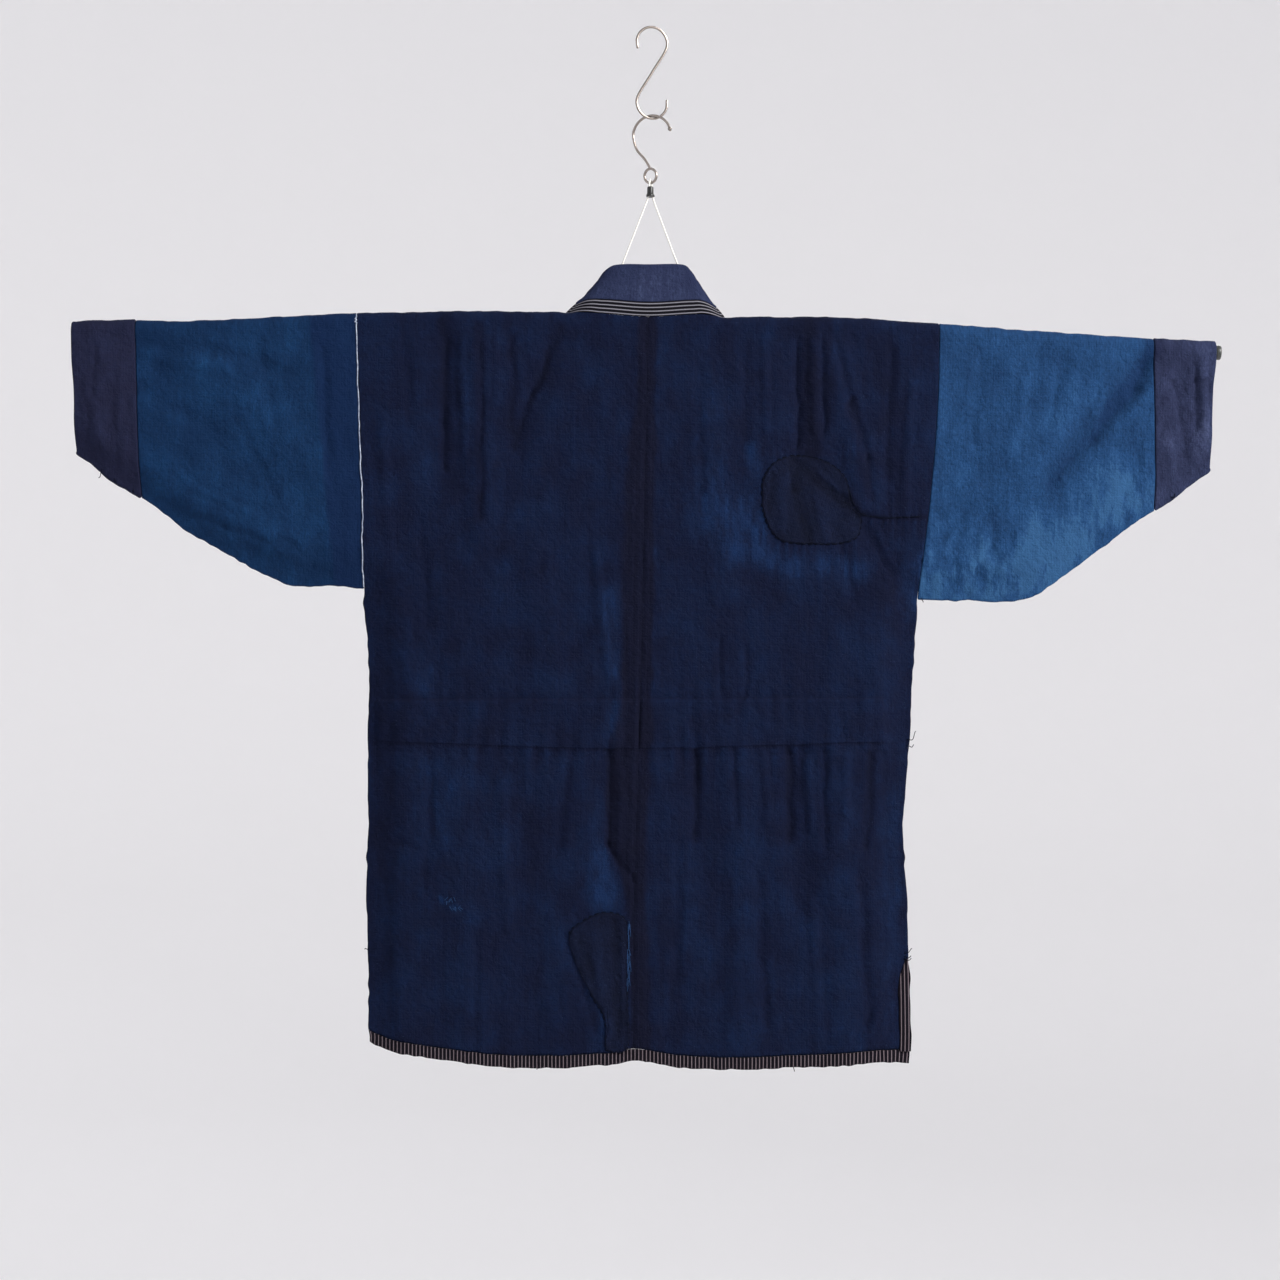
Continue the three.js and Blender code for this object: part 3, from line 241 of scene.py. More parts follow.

# Painted shadow along the seam that runs from the oval patch to the armhole
SEAM_PAINTED_SHADOW = table(FOLD_COLUMNS, [
    (209, 492, 213, 506, 4, -0.30), (213, 506, 223, 518, 4, -0.34), (223, 518, 246, 522, 4, -0.34),
    (246, 522, 290, 521, 4, -0.34),
])
# The stretch of the back, by the right shoulder, whose dye has turned purple
PURPLE_FOLD = table(FOLD_COLUMNS, [(169, 314, 170, 450, 20, 1.0)])
# The dark strip along the centre seam: its edges, from the seam
CENTRE_BAND = table(("down", "left", "right"), [
    (305, -9, 8), (400, -10, 8), (440, -16, 10), (500, -22, 11), (680, -20, 12), (740, -23, 14),
    (765, -30, 13), (860, -30, 10), (885, -20, 10), (930, -8, 12), (1000, -3, 16), (1100, -2, 18),
])
# Soft lines beside the centre seam, by their distance from it: what stands proud, and what is darker
LINE_COLUMNS = ("off", "half", "height")
SEAM_RIDGES = table(LINE_COLUMNS, [
    (4, 2.0, 0.8), (10, 2.0, 0.6), (-5, 2.0, 0.7), (-12, 2.2, 0.5), (0, 1.5, -1.1),
])
SEAM_STITCH_ROWS = table(LINE_COLUMNS, [(0, 1.5, 1.0), (7.2, 1.3, 0.55), (-8.6, 1.4, 0.5)])
# Left edge of the purple strip on the left sleeve
STRIP_EDGE = table(("down", "x"), [(305, -364), (600, -336)])
# Rumpled places: centre, half width and height of the place, and how far the rumples stand
RUMPLES = table(("x", "down", "half_x", "half_down", "height"), [
    (330, 566, 70, 52, 1.5), (575, 420, 60, 90, 0.9), (-420, 560, 90, 40, 0.8), (-580, 410, 50, 80, 0.5),
])

# Patches: their outlines, the folds within them, and the seam that runs from the oval one

OVAL_CENTRE = (165, 506)
OVAL_PATCH = table(("x", "down"), [
    (117, 499), (118, 481), (129, 464), (148, 456), (171, 458), (191, 466), (206, 482), (211, 508),
    (221, 521), (218, 540), (203, 548), (171, 549), (139, 546), (126, 534), (118, 514),
])
OVAL_FOLDS = table(FOLD_COLUMNS, [
    (150, 462, 152, 492, 9, -1.2), (152, 492, 166, 546, 9, -1.2), (160, 470, 204, 506, 9, -1.3),
    (204, 506, 222, 520, 7, -1.1), (178, 474, 196, 492, 6, 0.9), (140, 480, 138, 530, 9, 0.8),
    (176, 500, 186, 544, 10, 0.9), (128, 476, 124, 512, 6, -0.6),
])
SEAM_FROM_OVAL = table(("x", "down"), [
    (209, 492), (213, 505), (222, 517), (232, 520), (246, 521.5), (268, 521), (288, 520),
])
HEM_PATCH_CENTRE = (-42, 1012)
HEM_PATCH = table(("x", "down"), [
    (-88, 964), (-71, 948), (-50, 940), (-29, 947), (-26, 975), (-26, 1030), (-26, 1083), (-49, 1085),
    (-48, 1070), (-52, 1048), (-65, 1026), (-80, 996),
])
HEM_PATCH_FOLDS = table(FOLD_COLUMNS, [
    (-62, 960, -46, 1070, 10, 0.8), (-40, 950, -36, 1070, 7, -0.7), (-76, 968, -60, 1020, 8, -0.6),
])
# Ends of thread that stand out from the edges: start, reach sideways, drop, curl and a seed
LOOSE_ENDS = table(("x", "down", "reach", "drop", "curl", "seed"), [
    (271, 757, 11, -4, 5, 1), (271, 762, 8, 3, 3, 2), (-585, 468, -3, 12, 3, 3), (-572, 476, 3, 11, 3, 4),
    (550, 495, 5, 9, 3, 5), (556, 492, -2, 12, 4, 6), (268, 984, 9, -3, 2, 7), (268, 987, 8, 2, 2, 8),
    (-300, 978, -5, 3, 2, 9), (-552, 489, 1, 8, 2, 10), (267, 990, 9, 1, 2, 11), (150, 1104, 2, 7, 2, 12),
    (-120, 1103, -2, 6, 2, 13), (286, 606, 3, 6, 2, 14),
])


# Mathematics of the cloth's form


def points_of(rows):
    """A table's rows as an array of points."""
    return np.stack(list(rows.values()), -1)


def smooth(t):
    """0 up to 1 with soft ends, as t goes from 0 to 1."""
    t = np.clip(t, 0.0, 1.0)
    return t * t * (3.0 - 2.0 * t)


def lerp(a, b, t):
    return a + (b - a) * t


def curve(rows, by, get):
    """A smooth curve through a table's rows, read by one column and giving another."""
    at, value = rows[by], rows[get]
    before = np.maximum(np.arange(len(at)) - 1, 0)
    after = np.minimum(np.arange(len(at)) + 1, len(at) - 1)
    slope = (value[after] - value[before]) / (at[after] - at[before])

    def read(place):
        place = np.clip(place, at[0], at[-1])
        i = np.clip(np.searchsorted(at, place, side="right") - 1, 0, len(at) - 2)
        step = at[i + 1] - at[i]
        t = (place - at[i]) / step
        rise = value[i + 1] - value[i]
        bend = (slope[i] * step - rise) * (1 - t) - (slope[i + 1] * step - rise) * t
        return value[i] + rise * t + bend * t * (1 - t)

    return read


shoulder_down = curve(SHOULDER_LINE, "x", "down")
underside_down = curve(SLEEVE_UNDERSIDE, "x", "down")
hem_down = curve(HEM_LINE, "x", "down")
centre_x = curve(CENTRE_SEAM, "down", "x")
neckline_down = curve(BACK_NECKLINE, "x", "down")
tuck_lower = curve(TUCK_LINES, "x", "lower")
tuck_upper = curve(TUCK_LINES, "x", "upper")
opening_seam = curve(FRONT_OPENING, "down", "seam")
opening_free = curve(FRONT_OPENING, "down", "free")
band_left = curve(CENTRE_BAND, "down", "left")
band_right = curve(CENTRE_BAND, "down", "right")
strip_edge_x = curve(STRIP_EDGE, "down", "x")
side_x = {side: curve(SIDE_EDGES, "down", side) for side in SIDES}
cuff_seam_x = {side: curve(CUFF_LINES, "down", side + "_seam") for side in SIDES}
cuff_end_x = {side: curve(CUFF_LINES, "down", side + "_end") for side in SIDES}


def rod_axis_down(x):
    return shoulder_down(x) + CLOTH_WALL + OVER_ROD


def stretches(rows, x, down):
    """Sum of soft ridges or spots, each round a straight stretch."""
    total = np.zeros(np.broadcast(x, down).shape)
    for x1, down1, x2, down2, half, height in zip(*(rows[name] for name in FOLD_COLUMNS)):
        along_x, along_down = x2 - x1, down2 - down1
        reach = (x - x1) * along_x + (down - down1) * along_down
        t = np.clip(reach / (along_x**2 + along_down**2), 0.0, 1.0)
        away = np.hypot(x - x1 - along_x * t, down - down1 - along_down * t) / half
        total += height * np.where(away < 1.0, (1.0 - away**2) ** 2, 0.0)
    return total


def crumple(x, down, across, along, seed):
    """Seeded soft unevenness between -1 and 1, with its own size across and along."""
    lattice = np.random.default_rng(seed).uniform(-1.0, 1.0, (97, 97))
    u = np.asarray(x / across + 1000.0)
    v = np.asarray(down / along + 1000.0)
    i, j = np.floor(u).astype(int), np.floor(v).astype(int)
    s, t = smooth(u - i), smooth(v - j)
    low = lerp(lattice[i % 97, j % 97], lattice[(i + 1) % 97, j % 97], s)
    high = lerp(lattice[i % 97, (j + 1) % 97], lattice[(i + 1) % 97, (j + 1) % 97], s)
    return lerp(low, high, t)


def wandering(x, down):
    """Places moved a few millimetres, so that no crease runs quite straight."""
    sideways = 1.8 * crumple(x, down, 40.0, 34.0, 15) + 1.1 * crumple(x, down, 17.0, 15.0, 16)
    return x + sideways, down + 6.0 * crumple(x, down, 12.0, 60.0, 17)


SEEDS = {"back": 3, "front": 11}
CREASE_GAIN = 1.75


def fold_height(face, x, down):
    """Folds and creases together, out of the cloth."""
    seed = SEEDS[face]
    soft = 0.55 * crumple(x + 0.12 * down, down, 21.0, 120.0, seed)
    soft += 0.30 * crumple(x - 0.2 * down, down, 9.0, 46.0, seed + 1)
    creases = CREASE_GAIN * stretches(CREASES[face], *wandering(x, down))
    return stretches(LARGE_FOLDS[face], x, down) + creases + soft


def half_depth(x, down, away, shut):
    """Half depth inside: the rod's at the top, the body's lower down, shut at a seam."""
    drop = down - rod_axis_down(x)
    open_depth = lerp(OVER_ROD, BODY_DEPTH, smooth(drop / DEPTH_DROP))
    return lerp(shut, open_depth, smooth(away / SEAM_CLOSING))


# Body panels

NECK_WRAP = 12.0
BACK_OVERLAP = 0.3


def body_away(side, x, down):
    """Distance to the closed part of the side seam, below the underarm."""
    aside = np.abs(x - side_x[side](down))
    return np.hypot(aside, np.maximum(UNDERARM[side] - down, 0.0))


def body_shut(down):
    """Half depth left at the side seam, wider along the vent."""
    return SEAM_GAP / 2 + VENT_GAP * smooth((down - VENT_TOP) / 90)


def panel_span(side, face, down):
    """A panel's ends at one level: the centre seam or the front edge, and the side."""
    if face == "back":
        inner = 0 * down - BACK_OVERLAP
    else:
        inner = opening_seam(down) * NECK_HALF[side] / opening_seam(SHOULDER_LEVEL)
    return centre_x(down) + OUTWARD[side] * inner, side_x[side](down)


def level_down(side, face, share, row):
    """Level of a row: 0 the hem, 1 and 2 the tuck's lines, 3 the rod's axis."""
    low = lerp(*panel_span(side, face, np.array(HEM_LEVEL)), share)
    high = lerp(*panel_span(side, face, np.array(SHOULDER_LEVEL)), share)
    hem = hem_down(low) - (FRONT_HEM_LIFT if face == "front" else 0.0)
    marks = [hem, tuck_lower(low), tuck_upper(low), rod_axis_down(high)]
    down = lerp(marks[0], marks[1], np.clip(row, -1, 1))
    down = down + (marks[2] - marks[1]) * np.clip(row - 1, 0, 1)
    return down + (marks[3] - marks[2]) * np.clip(row - 2, 0, 1)


def wrap_over(side, face, x):
    """Angle and rise of a column's end over the rod; hardly any angle inside the back neck."""
    full = math.acos(SEAM_GAP / 2 / OVER_ROD)
    if face == "front":
        return full, OVER_ROD
    share = np.abs(x - centre_x(np.array(SHOULDER_LEVEL))) / NECK_HALF[side]
    on_shoulder = smooth((share - 0.7) / 0.3)
    angle = lerp(math.radians(NECK_WRAP), full, on_shoulder)
    rise = lerp(rod_axis_down(x) - neckline_down(x), OVER_ROD, on_shoulder)
    return angle, rise


def body_surface(side, face, share, row):
    """Inner surface of a body panel; share runs from its inner edge to its side, row up it."""
    share, row = np.broadcast_arrays(share, row)
    down = level_down(side, face, share, np.minimum(row, 3.0))
    inner, outer = panel_span(side, face, down)
    x = lerp(inner, outer, share)
    away = body_away(side, x, down)
    fade = smooth(away / SEAM_CLOSING) * smooth((down - rod_axis_down(x)) / 25)
    depth = half_depth(x, down, away, body_shut(down)) + fold_height(face, x, down) * fade
    angle_end, rise = wrap_over(side, face, x)
    angle = angle_end * np.maximum(row - 3.0, 0.0)
    over = row > 3.0
    y = np.where(over, OVER_ROD * np.cos(angle), depth)
    z = -down + np.where(over, rise * np.sin(angle) / np.sin(angle_end), 0.0)
    return np.stack([x, FACING[face] * y, z], axis=-1)


def normals_of(points, outside):
    """Unit normals of a grid of points, all turned the same way as `outside`."""
    along_i = np.gradient(points, axis=0)
    along_j = np.gradient(points, axis=1)
    normal = np.cross(along_i, along_j)
    normal /= np.linalg.norm(normal, axis=-1, keepdims=True) + 1e-12
    sign = np.sign(np.sum(normal * outside, axis=-1, keepdims=True))
    return normal * np.where(sign == 0, 1, sign)


def between(x, start, end, soft):
    """1 between two places, falling to 0 within a soft width inside them."""
    return smooth((x - start) / soft) * smooth((end - x) / soft)


def soft_line(away, half):
    """1 on a line, falling softly to 0 beside it."""
    return np.exp(-((away / half) ** 2))


def tuck_raise(x, row):
    """The tuck's double cloth, raised between its folded lower edge and its stitched line."""
    upward = smooth((row - 0.985) / 0.03) * smooth((2.0 - row) / 0.09)
    groove = soft_line(row - 2.0, 0.012) + soft_line(row - 0.97, 0.008)
    return between(x, TUCK_START, TUCK_END, 8) * (TUCK_HEIGHT * upward - 0.5 * groove)


def cloth_hand(x, down, seed):
    """The puckered hand of washed, hand-sewn cotton."""
    slanted = crumple(x + 0.4 * down, down, 11.0, 19.0, seed)
    crossed = crumple(x - 0.5 * down, down, 6.0, 10.0, seed + 1)
    return 0.42 * slanted + 0.30 * crossed + 0.12 * crumple(x, down, 3.0, 3.4, seed + 2)


# Worn edges: how far an edge moves on the whole, and how far from it the cloth moves along
EDGE_WEAR = {"side": {"out": 1.2, "reach": 25.0}, "hem": {"out": 1.1, "reach": 22.0},
             "top": {"out": 1.1, "reach": 14.0}}


def by_edge(edge, gap):
    """1 at a worn edge, 0 where the cloth no longer moves with it."""
    return smooth(1 - gap / EDGE_WEAR[edge]["reach"])


def worn_outline(x, down, side, side_gap, hem_gap):
    """Small unevenness of the outline, sideways and upwards, in millimetres."""
    none = 0 * x
    below_sleeve = smooth((down - UNDERARM[side] - 4) / 12)
    off_neck = smooth((np.abs(x + 4) - 84) / 20)
    sideways = EDGE_WEAR["side"]["out"] + 0.8 * crumple(none, down, 1.0, 9.0, 61)
    sideways += 0.8 * crumple(none, down, 1.0, 34.0, 62)
    low = 0.7 * crumple(x, none, 7.0, 1.0, 63) - EDGE_WEAR["hem"]["out"]
    low += 0.8 * crumple(x, none, 29.0, 1.0, 64)
    high = EDGE_WEAR["top"]["out"] + 0.35 * crumple(x, none, 12.0, 1.0, 65)
    high += 0.35 * crumple(x, none, 45.0, 1.0, 66)
    sideways *= OUTWARD[side] * below_sleeve * by_edge("side", side_gap)
    upwards = by_edge("hem", hem_gap) * low + by_edge("top", down - shoulder_down(x)) * off_neck * high
    return np.stack([sideways, none, upwards], -1)


def puckers(x, down, line_down, reach, pitch, seed):
    """Short uneven gathers that die away from a stitched line."""
    fall = np.exp(-np.abs(down - line_down) / reach)
    wander = x + 3.0 * crumple(x, down, 30.0, 60.0, seed)
    uneven = 0.5 + 0.5 * crumple(x, down * 0, 37.0, 1.0, seed + 1)
    return fall * uneven * np.cos(2 * math.pi * wander / pitch)


def in_band(x, down):
    """1 within the dark strip along the centre seam, 0 outside it."""
    away = x - centre_x(down)
    wander = 2.2 * crumple(x, down, 50.0, 14.0, 71)
    left = smooth((away - band_left(down) + wander) / 7 + 0.5)
    return left * smooth((band_right(down) - away + wander) / 5 + 0.5)


def lines_beside(rows, away):
    """Sum of soft lines, each at its own distance."""
    return sum(height * soft_line(away - off, half) for off, half, height in zip(*rows.values()))


def seam_lines(x, down):
    """The centre seam's line and the rows of stitches beside it."""
    wander = 0.7 * crumple(0 * x, down, 1.0, 17.0, 75)
    return lines_beside(SEAM_STITCH_ROWS, x - centre_x(down) + wander)


def centre_band(x, down):
    """The felled centre-back seam: thin ridges on each side of the seam line."""
    return lines_beside(SEAM_RIDGES, x - centre_x(down))


def oval_puckers(x, down):
    """Gathers above and below the oval patch, and under the seam that runs from it."""
    across = between(x, 112, 226, 14)
    under = across * (down > 548) * puckers(x, down, 552.0 + 0 * x, 20.0, 9.0, 25)
    above = across * (down < 458) * puckers(x, down, 454.0 + 0 * x, 9.0, 8.0, 27)
    by_seam = smooth((x - 226) / 8) * puckers(x, down, 525.0 + 0 * x, 9.0, 8.0, 29)
    return under + above + by_seam


def back_relief(x, down, row):
    """What stands proud of the back's wall: tuck, seams, gathers and the hand of the cloth."""
    relief = tuck_raise(x, row)
    relief += 0.7 * puckers(x, down, tuck_upper(x), 22.0, 17.0, 21)
    relief += 1.1 * puckers(x, down, tuck_lower(x), 30.0, 19.0, 23)
    relief += centre_band(x, down)
    relief += cloth_hand(x, down, 31)
    relief += 0.5 * between(x, 108, 252, 12) * puckers(x, down, 910.0 + 0 * x, 9.0, 9.0, 26)
    return relief + 0.8 * oval_puckers(x, down)


def plain_relief(x, down, row):
    return cloth_hand(x, down, 41) + 0 * row


# Meshes


def to_mesh(name, points, faces, slots=None, **attributes):
    """A smooth-shaded object from points in millimetres, with its vertex attributes."""
    mesh = bpy.data.meshes.new(name)
    mesh.from_pydata((points * MM).tolist(), [], [list(face) for face in faces])
    for label, values in attributes.items():
        kind, channel = ("FLOAT_VECTOR", "vector") if values.ndim == 2 else ("FLOAT", "value")
        layer = mesh.attributes.new(label, kind, "POINT")
        layer.data.foreach_set(channel, values.astype(np.float32).ravel())
    if slots is not None:
        mesh.polygons.foreach_set("material_index", slots.astype(np.int32))
    mesh.shade_smooth()
    made = bpy.data.objects.new(name, mesh)
    bpy.context.scene.collection.objects.link(made)
    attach(made, ROOT)
    return made


def grid_faces(count_i, count_j, around=False, offset=0):
    """Four-sided faces of a grid of points, closed in its second direction when it goes around."""
    i = np.arange(count_i - 1)[:, None]
    j = np.arange(count_j if around else count_j - 1)[None, :]
    k = (j + 1) % count_j
    corners = [i * count_j + j, (i + 1) * count_j + j, (i + 1) * count_j + k, i * count_j + k]
    return np.stack([np.broadcast_to(c, (i.size, j.size)) for c in corners], -1).reshape(-1, 4) + offset


def shell(name, inner, outer, thread, tone, warm, around=False):
    """A closed wall between two grids; its inner faces take the second material."""
    count_i, count_j = outer.shape[:2]
    total = count_i * count_j
    outside = grid_faces(count_i, count_j, around)
    inside = grid_faces(count_i, count_j, around, total)[:, ::-1]
    last = count_i - 1
    j = np.arange(count_j if around else count_j - 1)
    k = (j + 1) % count_j
    rims = [
        np.stack([j, k, k + total, j + total], -1),
        np.stack([last * count_j + k, last * count_j + j, last * count_j + j + total,
                  last * count_j + k + total], -1),
    ]
    if not around:
        i = np.arange(last)
        low, low_next = i * count_j, (i + 1) * count_j
        high, high_next = low + count_j - 1, low_next + count_j - 1
        rims.append(np.stack([low_next, low, low + total, low_next + total], -1))
        rims.append(np.stack([high, high_next, high_next + total, high + total], -1))
    faces = np.concatenate([outside, inside, *rims])
    points = np.concatenate([outer.reshape(-1, 3), inner.reshape(-1, 3)])
    a, b, c = (points[faces[:, n]] for n in range(3))
    if np.sum(np.einsum("ij,ij->i", a, np.cross(b, c))) < 0:
        faces = faces[:, ::-1]
    slots = np.zeros(len(faces))
    slots[len(outside):len(outside) + len(inside)] = 1
    both = {
        "thread": np.concatenate([thread.reshape(-1, 3)] * 2),
        "tone": np.tile(tone.ravel(), 2),
        "warm": np.tile(warm.ravel(), 2),
    }
    return to_mesh(name, points, faces, slots, **both)


def steps_with_edges(start, end, count, length):
    """Even steps with three closer ones at each end, for a rounded edge."""
    near = np.array([0.0, 0.25, 0.7, 1.4]) / length
    even = np.linspace(near[-1], 1 - near[-1], count)
    return lerp(start, end, np.concatenate([near[:-1], even, 1 - near[-2::-1]]))


def edge_round(distance):
    """Share of the wall left at a distance from a cloth's edge."""
    t = np.clip(distance / EDGE_ROUND, 0.0, 1.0)
    return 0.35 + 0.65 * np.sqrt(1.0 - (1.0 - t) ** 2)


# Materials


def linear(hex_colour):
    """An sRGB hex colour as linear RGBA."""
    parts = [int(hex_colour[i:i + 2], 16) / 255 for i in (1, 3, 5)]
    return [p / 12.92 if p <= 0.04045 else ((p + 0.055) / 1.055) ** 2.4 for p in parts] + [1.0]


def add(tree, kind, inputs=None, stops=(), **settings):
    """Adds a node with its settings; inputs are values or sockets, stops a ramp's (place, colour)."""
    made = tree.nodes.new(kind)
    for name, value in settings.items():
        setattr(made, name, value)
    for i, (place, colour) in enumerate(stops):
        elements = made.color_ramp.elements
        element = elements[i] if i < len(elements) else elements.new(place)
        element.position = place
        element.color = linear(colour)
    for key, value in (inputs or {}).items():
        if isinstance(value, bpy.types.NodeSocket):
            tree.links.new(value, made.inputs[key])
        else:
            made.inputs[key].default_value = value
    return made


def new_material(name):
    material = bpy.data.materials.new(name)
    material.use_nodes = True
    material.node_tree.nodes.clear()
    return material, material.node_tree


def finish_material(tree, shader):
    add(tree, "ShaderNodeOutputMaterial", {"Surface": shader.outputs[0]})


# Threads are about 0.6 mm apart in hand-woven cotton; the weave is drawn at 1.7 mm so that it shows
WEAVE_PITCH = 1.7
WEAVE_DEPTH = 0.22


def weave_height(tree, thread):
    """Warp and weft of a plain weave, over and under, as a height."""
    scale = 2 * math.pi / (20 * WEAVE_PITCH)
    warp, weft = (
        add(tree, "ShaderNodeTexWave", {"Vector": thread, "Scale": scale, "Distortion": 1.2,
                                        "Detail": 1.0, "Detail Scale": 0.4}, bands_direction=direction)
        for direction in ("X", "Y")
    )
    both = add(tree, "ShaderNodeMath", {0: warp.outputs["Fac"], 1: weft.outputs["Fac"]}, operation="ADD")
    return add(tree, "ShaderNodeMath", {0: both.outputs[0], 1: WEAVE_DEPTH}, operation="MULTIPLY").outputs[0]


def dyed_cotton(name, stops, warm_hex, streak=0.35, mottle=0.3, heather=0.2, sheen=0.02, uneven=0.5):
    """Hand-woven cotton dyed in the vat: matt, with a faint fuzz, streaked along the warp.

    The dye takes unevenly, so slubs and worn stretches show as paler vertical streaks.
    """
    material, tree = new_material(name)
    thread = add(tree, "ShaderNodeAttribute", attribute_name="thread").outputs["Vector"]
    # The tone attribute carries the cloth's dye tone together with the painted light and shade of its folds,
    # creases, gathers and seams
    tone = add(tree, "ShaderNodeAttribute", attribute_name="tone").outputs["Fac"]
    warm = add(tree, "ShaderNodeAttribute", attribute_name="warm").outputs["Fac"]
    stretched = add(tree, "ShaderNodeVectorMath", {0: thread, 1: (1.0, 0.09, 1.0)}, operation="MULTIPLY")
    streaks = add(tree, "ShaderNodeTexNoise", {"Vector": stretched.outputs[0], "Scale": 0.16,
                                               "Detail": 5.0, "Roughness": 0.62})
    patches = add(tree, "ShaderNodeTexNoise", {"Vector": thread, "Scale": 0.022, "Detail": 4.0,
                                               "Roughness": 0.55})
    flecked = add(tree, "ShaderNodeVectorMath", {0: thread, 1: (1.0, 0.4, 1.0)}, operation="MULTIPLY")
    flecks = add(tree, "ShaderNodeTexNoise", {"Vector": flecked.outputs[0], "Scale": 0.62,
                                              "Detail": 3.0, "Roughness": 0.6})
    level = tone
    for noise, amount in ((streaks, streak), (patches, mottle), (flecks, heather)):
        level = add(tree, "ShaderNodeMath", {0: noise.outputs["Fac"], 1: amount * 2.0, 2: level},
                    operation="MULTIPLY_ADD").outputs[0]
    offset = streak + mottle + heather
    level = add(tree, "ShaderNodeMath", {0: level, 1: offset}, operation="SUBTRACT").outputs[0]
    base = add(tree, "ShaderNodeValToRGB", {0: level}, stops).outputs["Color"]
    purple = add(tree, "ShaderNodeTexNoise", {"Vector": thread, "Scale": 0.05, "Detail": 5.0,
                                              "Roughness": 0.68, "W": 3.0}, noise_dimensions="4D")
    purple_share = add(tree, "ShaderNodeMath", {0: purple.outputs["Fac"], 1: uneven, 2: warm},
                       operation="MULTIPLY_ADD")
    purple_share.use_clamp = True
    colour = add(tree, "ShaderNodeMix", {0: purple_share.outputs[0], 6: base, 7: linear(warm_hex)},
                 data_type="RGBA")
    lint = add(tree, "ShaderNodeTexNoise", {"Vector": thread, "Scale": 0.75, "Detail": 1.0})
    specks = add(tree, "ShaderNodeMapRange", {0: lint.outputs["Fac"], 1: 0.70, 2: 0.78, 3: 0.0, 4: 0.5})
    colour = add(tree, "ShaderNodeMix", {0: specks.outputs[0], 6: colour.outputs[2], 7: linear("#39455e")},
                 data_type="RGBA")
    threads = weave_height(tree, thread)
    slubs = add(tree, "ShaderNodeMath", {0: streaks.outputs["Fac"], 1: 1.6, 2: threads},
                operation="MULTIPLY_ADD")
    hand = add(tree, "ShaderNodeTexNoise", {"Vector": thread, "Scale": 0.17, "Detail": 5.0,
                                            "Roughness": 0.58, "Distortion": 0.4})
    height = add(tree, "ShaderNodeMath", {0: hand.outputs["Fac"], 1: 5.0, 2: slubs.outputs[0]},
                 operation="MULTIPLY_ADD")
    bump = add(tree, "ShaderNodeBump", {"Strength": 0.6, "Distance": 0.0007, "Height": height.outputs[0]})
    shader = add(tree, "ShaderNodeBsdfPrincipled", {
        "Base Color": colour.outputs[2], "Roughness": 0.92, "IOR": 1.5, "Specular IOR Level": 0.06,
        "Sheen Weight": sheen, "Sheen Roughness": 0.5, "Sheen Tint": linear("#9aa8c8"),
        "Normal": bump.outputs[0],
    })
    finish_material(tree, shader)
    return material


STRIPE_PITCH = 4.0


def striped_cotton(name, stops, wander=0.5):
    """Narrow striped cotton: yarn-dyed pale lines 4 mm apart on brown-black, matt and flat."""
    material, tree = new_material(name)
    thread = add(tree, "ShaderNodeAttribute", attribute_name="thread").outputs["Vector"]
    lines = add(tree, "ShaderNodeTexWave", {"Vector": thread, "Scale": 2 * math.pi / (20 * STRIPE_PITCH),
                                            "Distortion": wander, "Detail": 1.0, "Detail Scale": 0.06},
                bands_direction="X")
    base = add(tree, "ShaderNodeValToRGB", {0: lines.outputs["Fac"]}, stops).outputs["Color"]
    flecks = add(tree, "ShaderNodeTexNoise", {"Vector": thread, "Scale": 0.5, "Detail": 3.0})
    worn = add(tree, "ShaderNodeMix", {0: flecks.outputs["Fac"], 6: base, 7: linear("#15121a")},
               data_type="RGBA")
    colour = add(tree, "ShaderNodeMix", {0: 0.45, 6: base, 7: worn.outputs[2]}, data_type="RGBA")
    bump = add(tree, "ShaderNodeBump", {"Strength": 0.35, "Distance": 0.0004,
                                        "Height": weave_height(tree, thread)})
    shader = add(tree, "ShaderNodeBsdfPrincipled", {
        "Base Color": colour.outputs[2], "Roughness": 0.9, "IOR": 1.5, "Specular IOR Level": 0.06,
        "Sheen Weight": 0.02, "Sheen Roughness": 0.5, "Normal": bump.outputs[0],
    })
    finish_material(tree, shader)
    return material


def plain_finish(name, colour, roughness, metallic=0.0, ior=1.5, grain=0.0, grain_scale=400.0,
                 stretch=(1.0, 1.0, 1.0), second=None, gloss=0.5):
    """A hard finish with a fine grain in its colour and height."""
    material, tree = new_material(name)
    place = add(tree, "ShaderNodeTexCoord").outputs["Object"]
    stretched = add(tree, "ShaderNodeVectorMath", {0: place, 1: stretch}, operation="MULTIPLY")
    noise = add(tree, "ShaderNodeTexNoise", {"Vector": stretched.outputs[0], "Scale": grain_scale,
                                             "Detail": 4.0})
    base = add(tree, "ShaderNodeValToRGB", {0: noise.outputs["Fac"]},
               [(0.3, colour), (0.7, second or colour)]).outputs["Color"]
    bump = add(tree, "ShaderNodeBump", {"Strength": grain, "Distance": 0.0003,
                                        "Height": noise.outputs["Fac"]})
    shader = add(tree, "ShaderNodeBsdfPrincipled", {
        "Base Color": base, "Roughness": roughness, "Metallic": metallic, "IOR": ior,
        "Specular IOR Level": gloss, "Normal": bump.outputs[0],
    })
    finish_material(tree, shader)
    return material


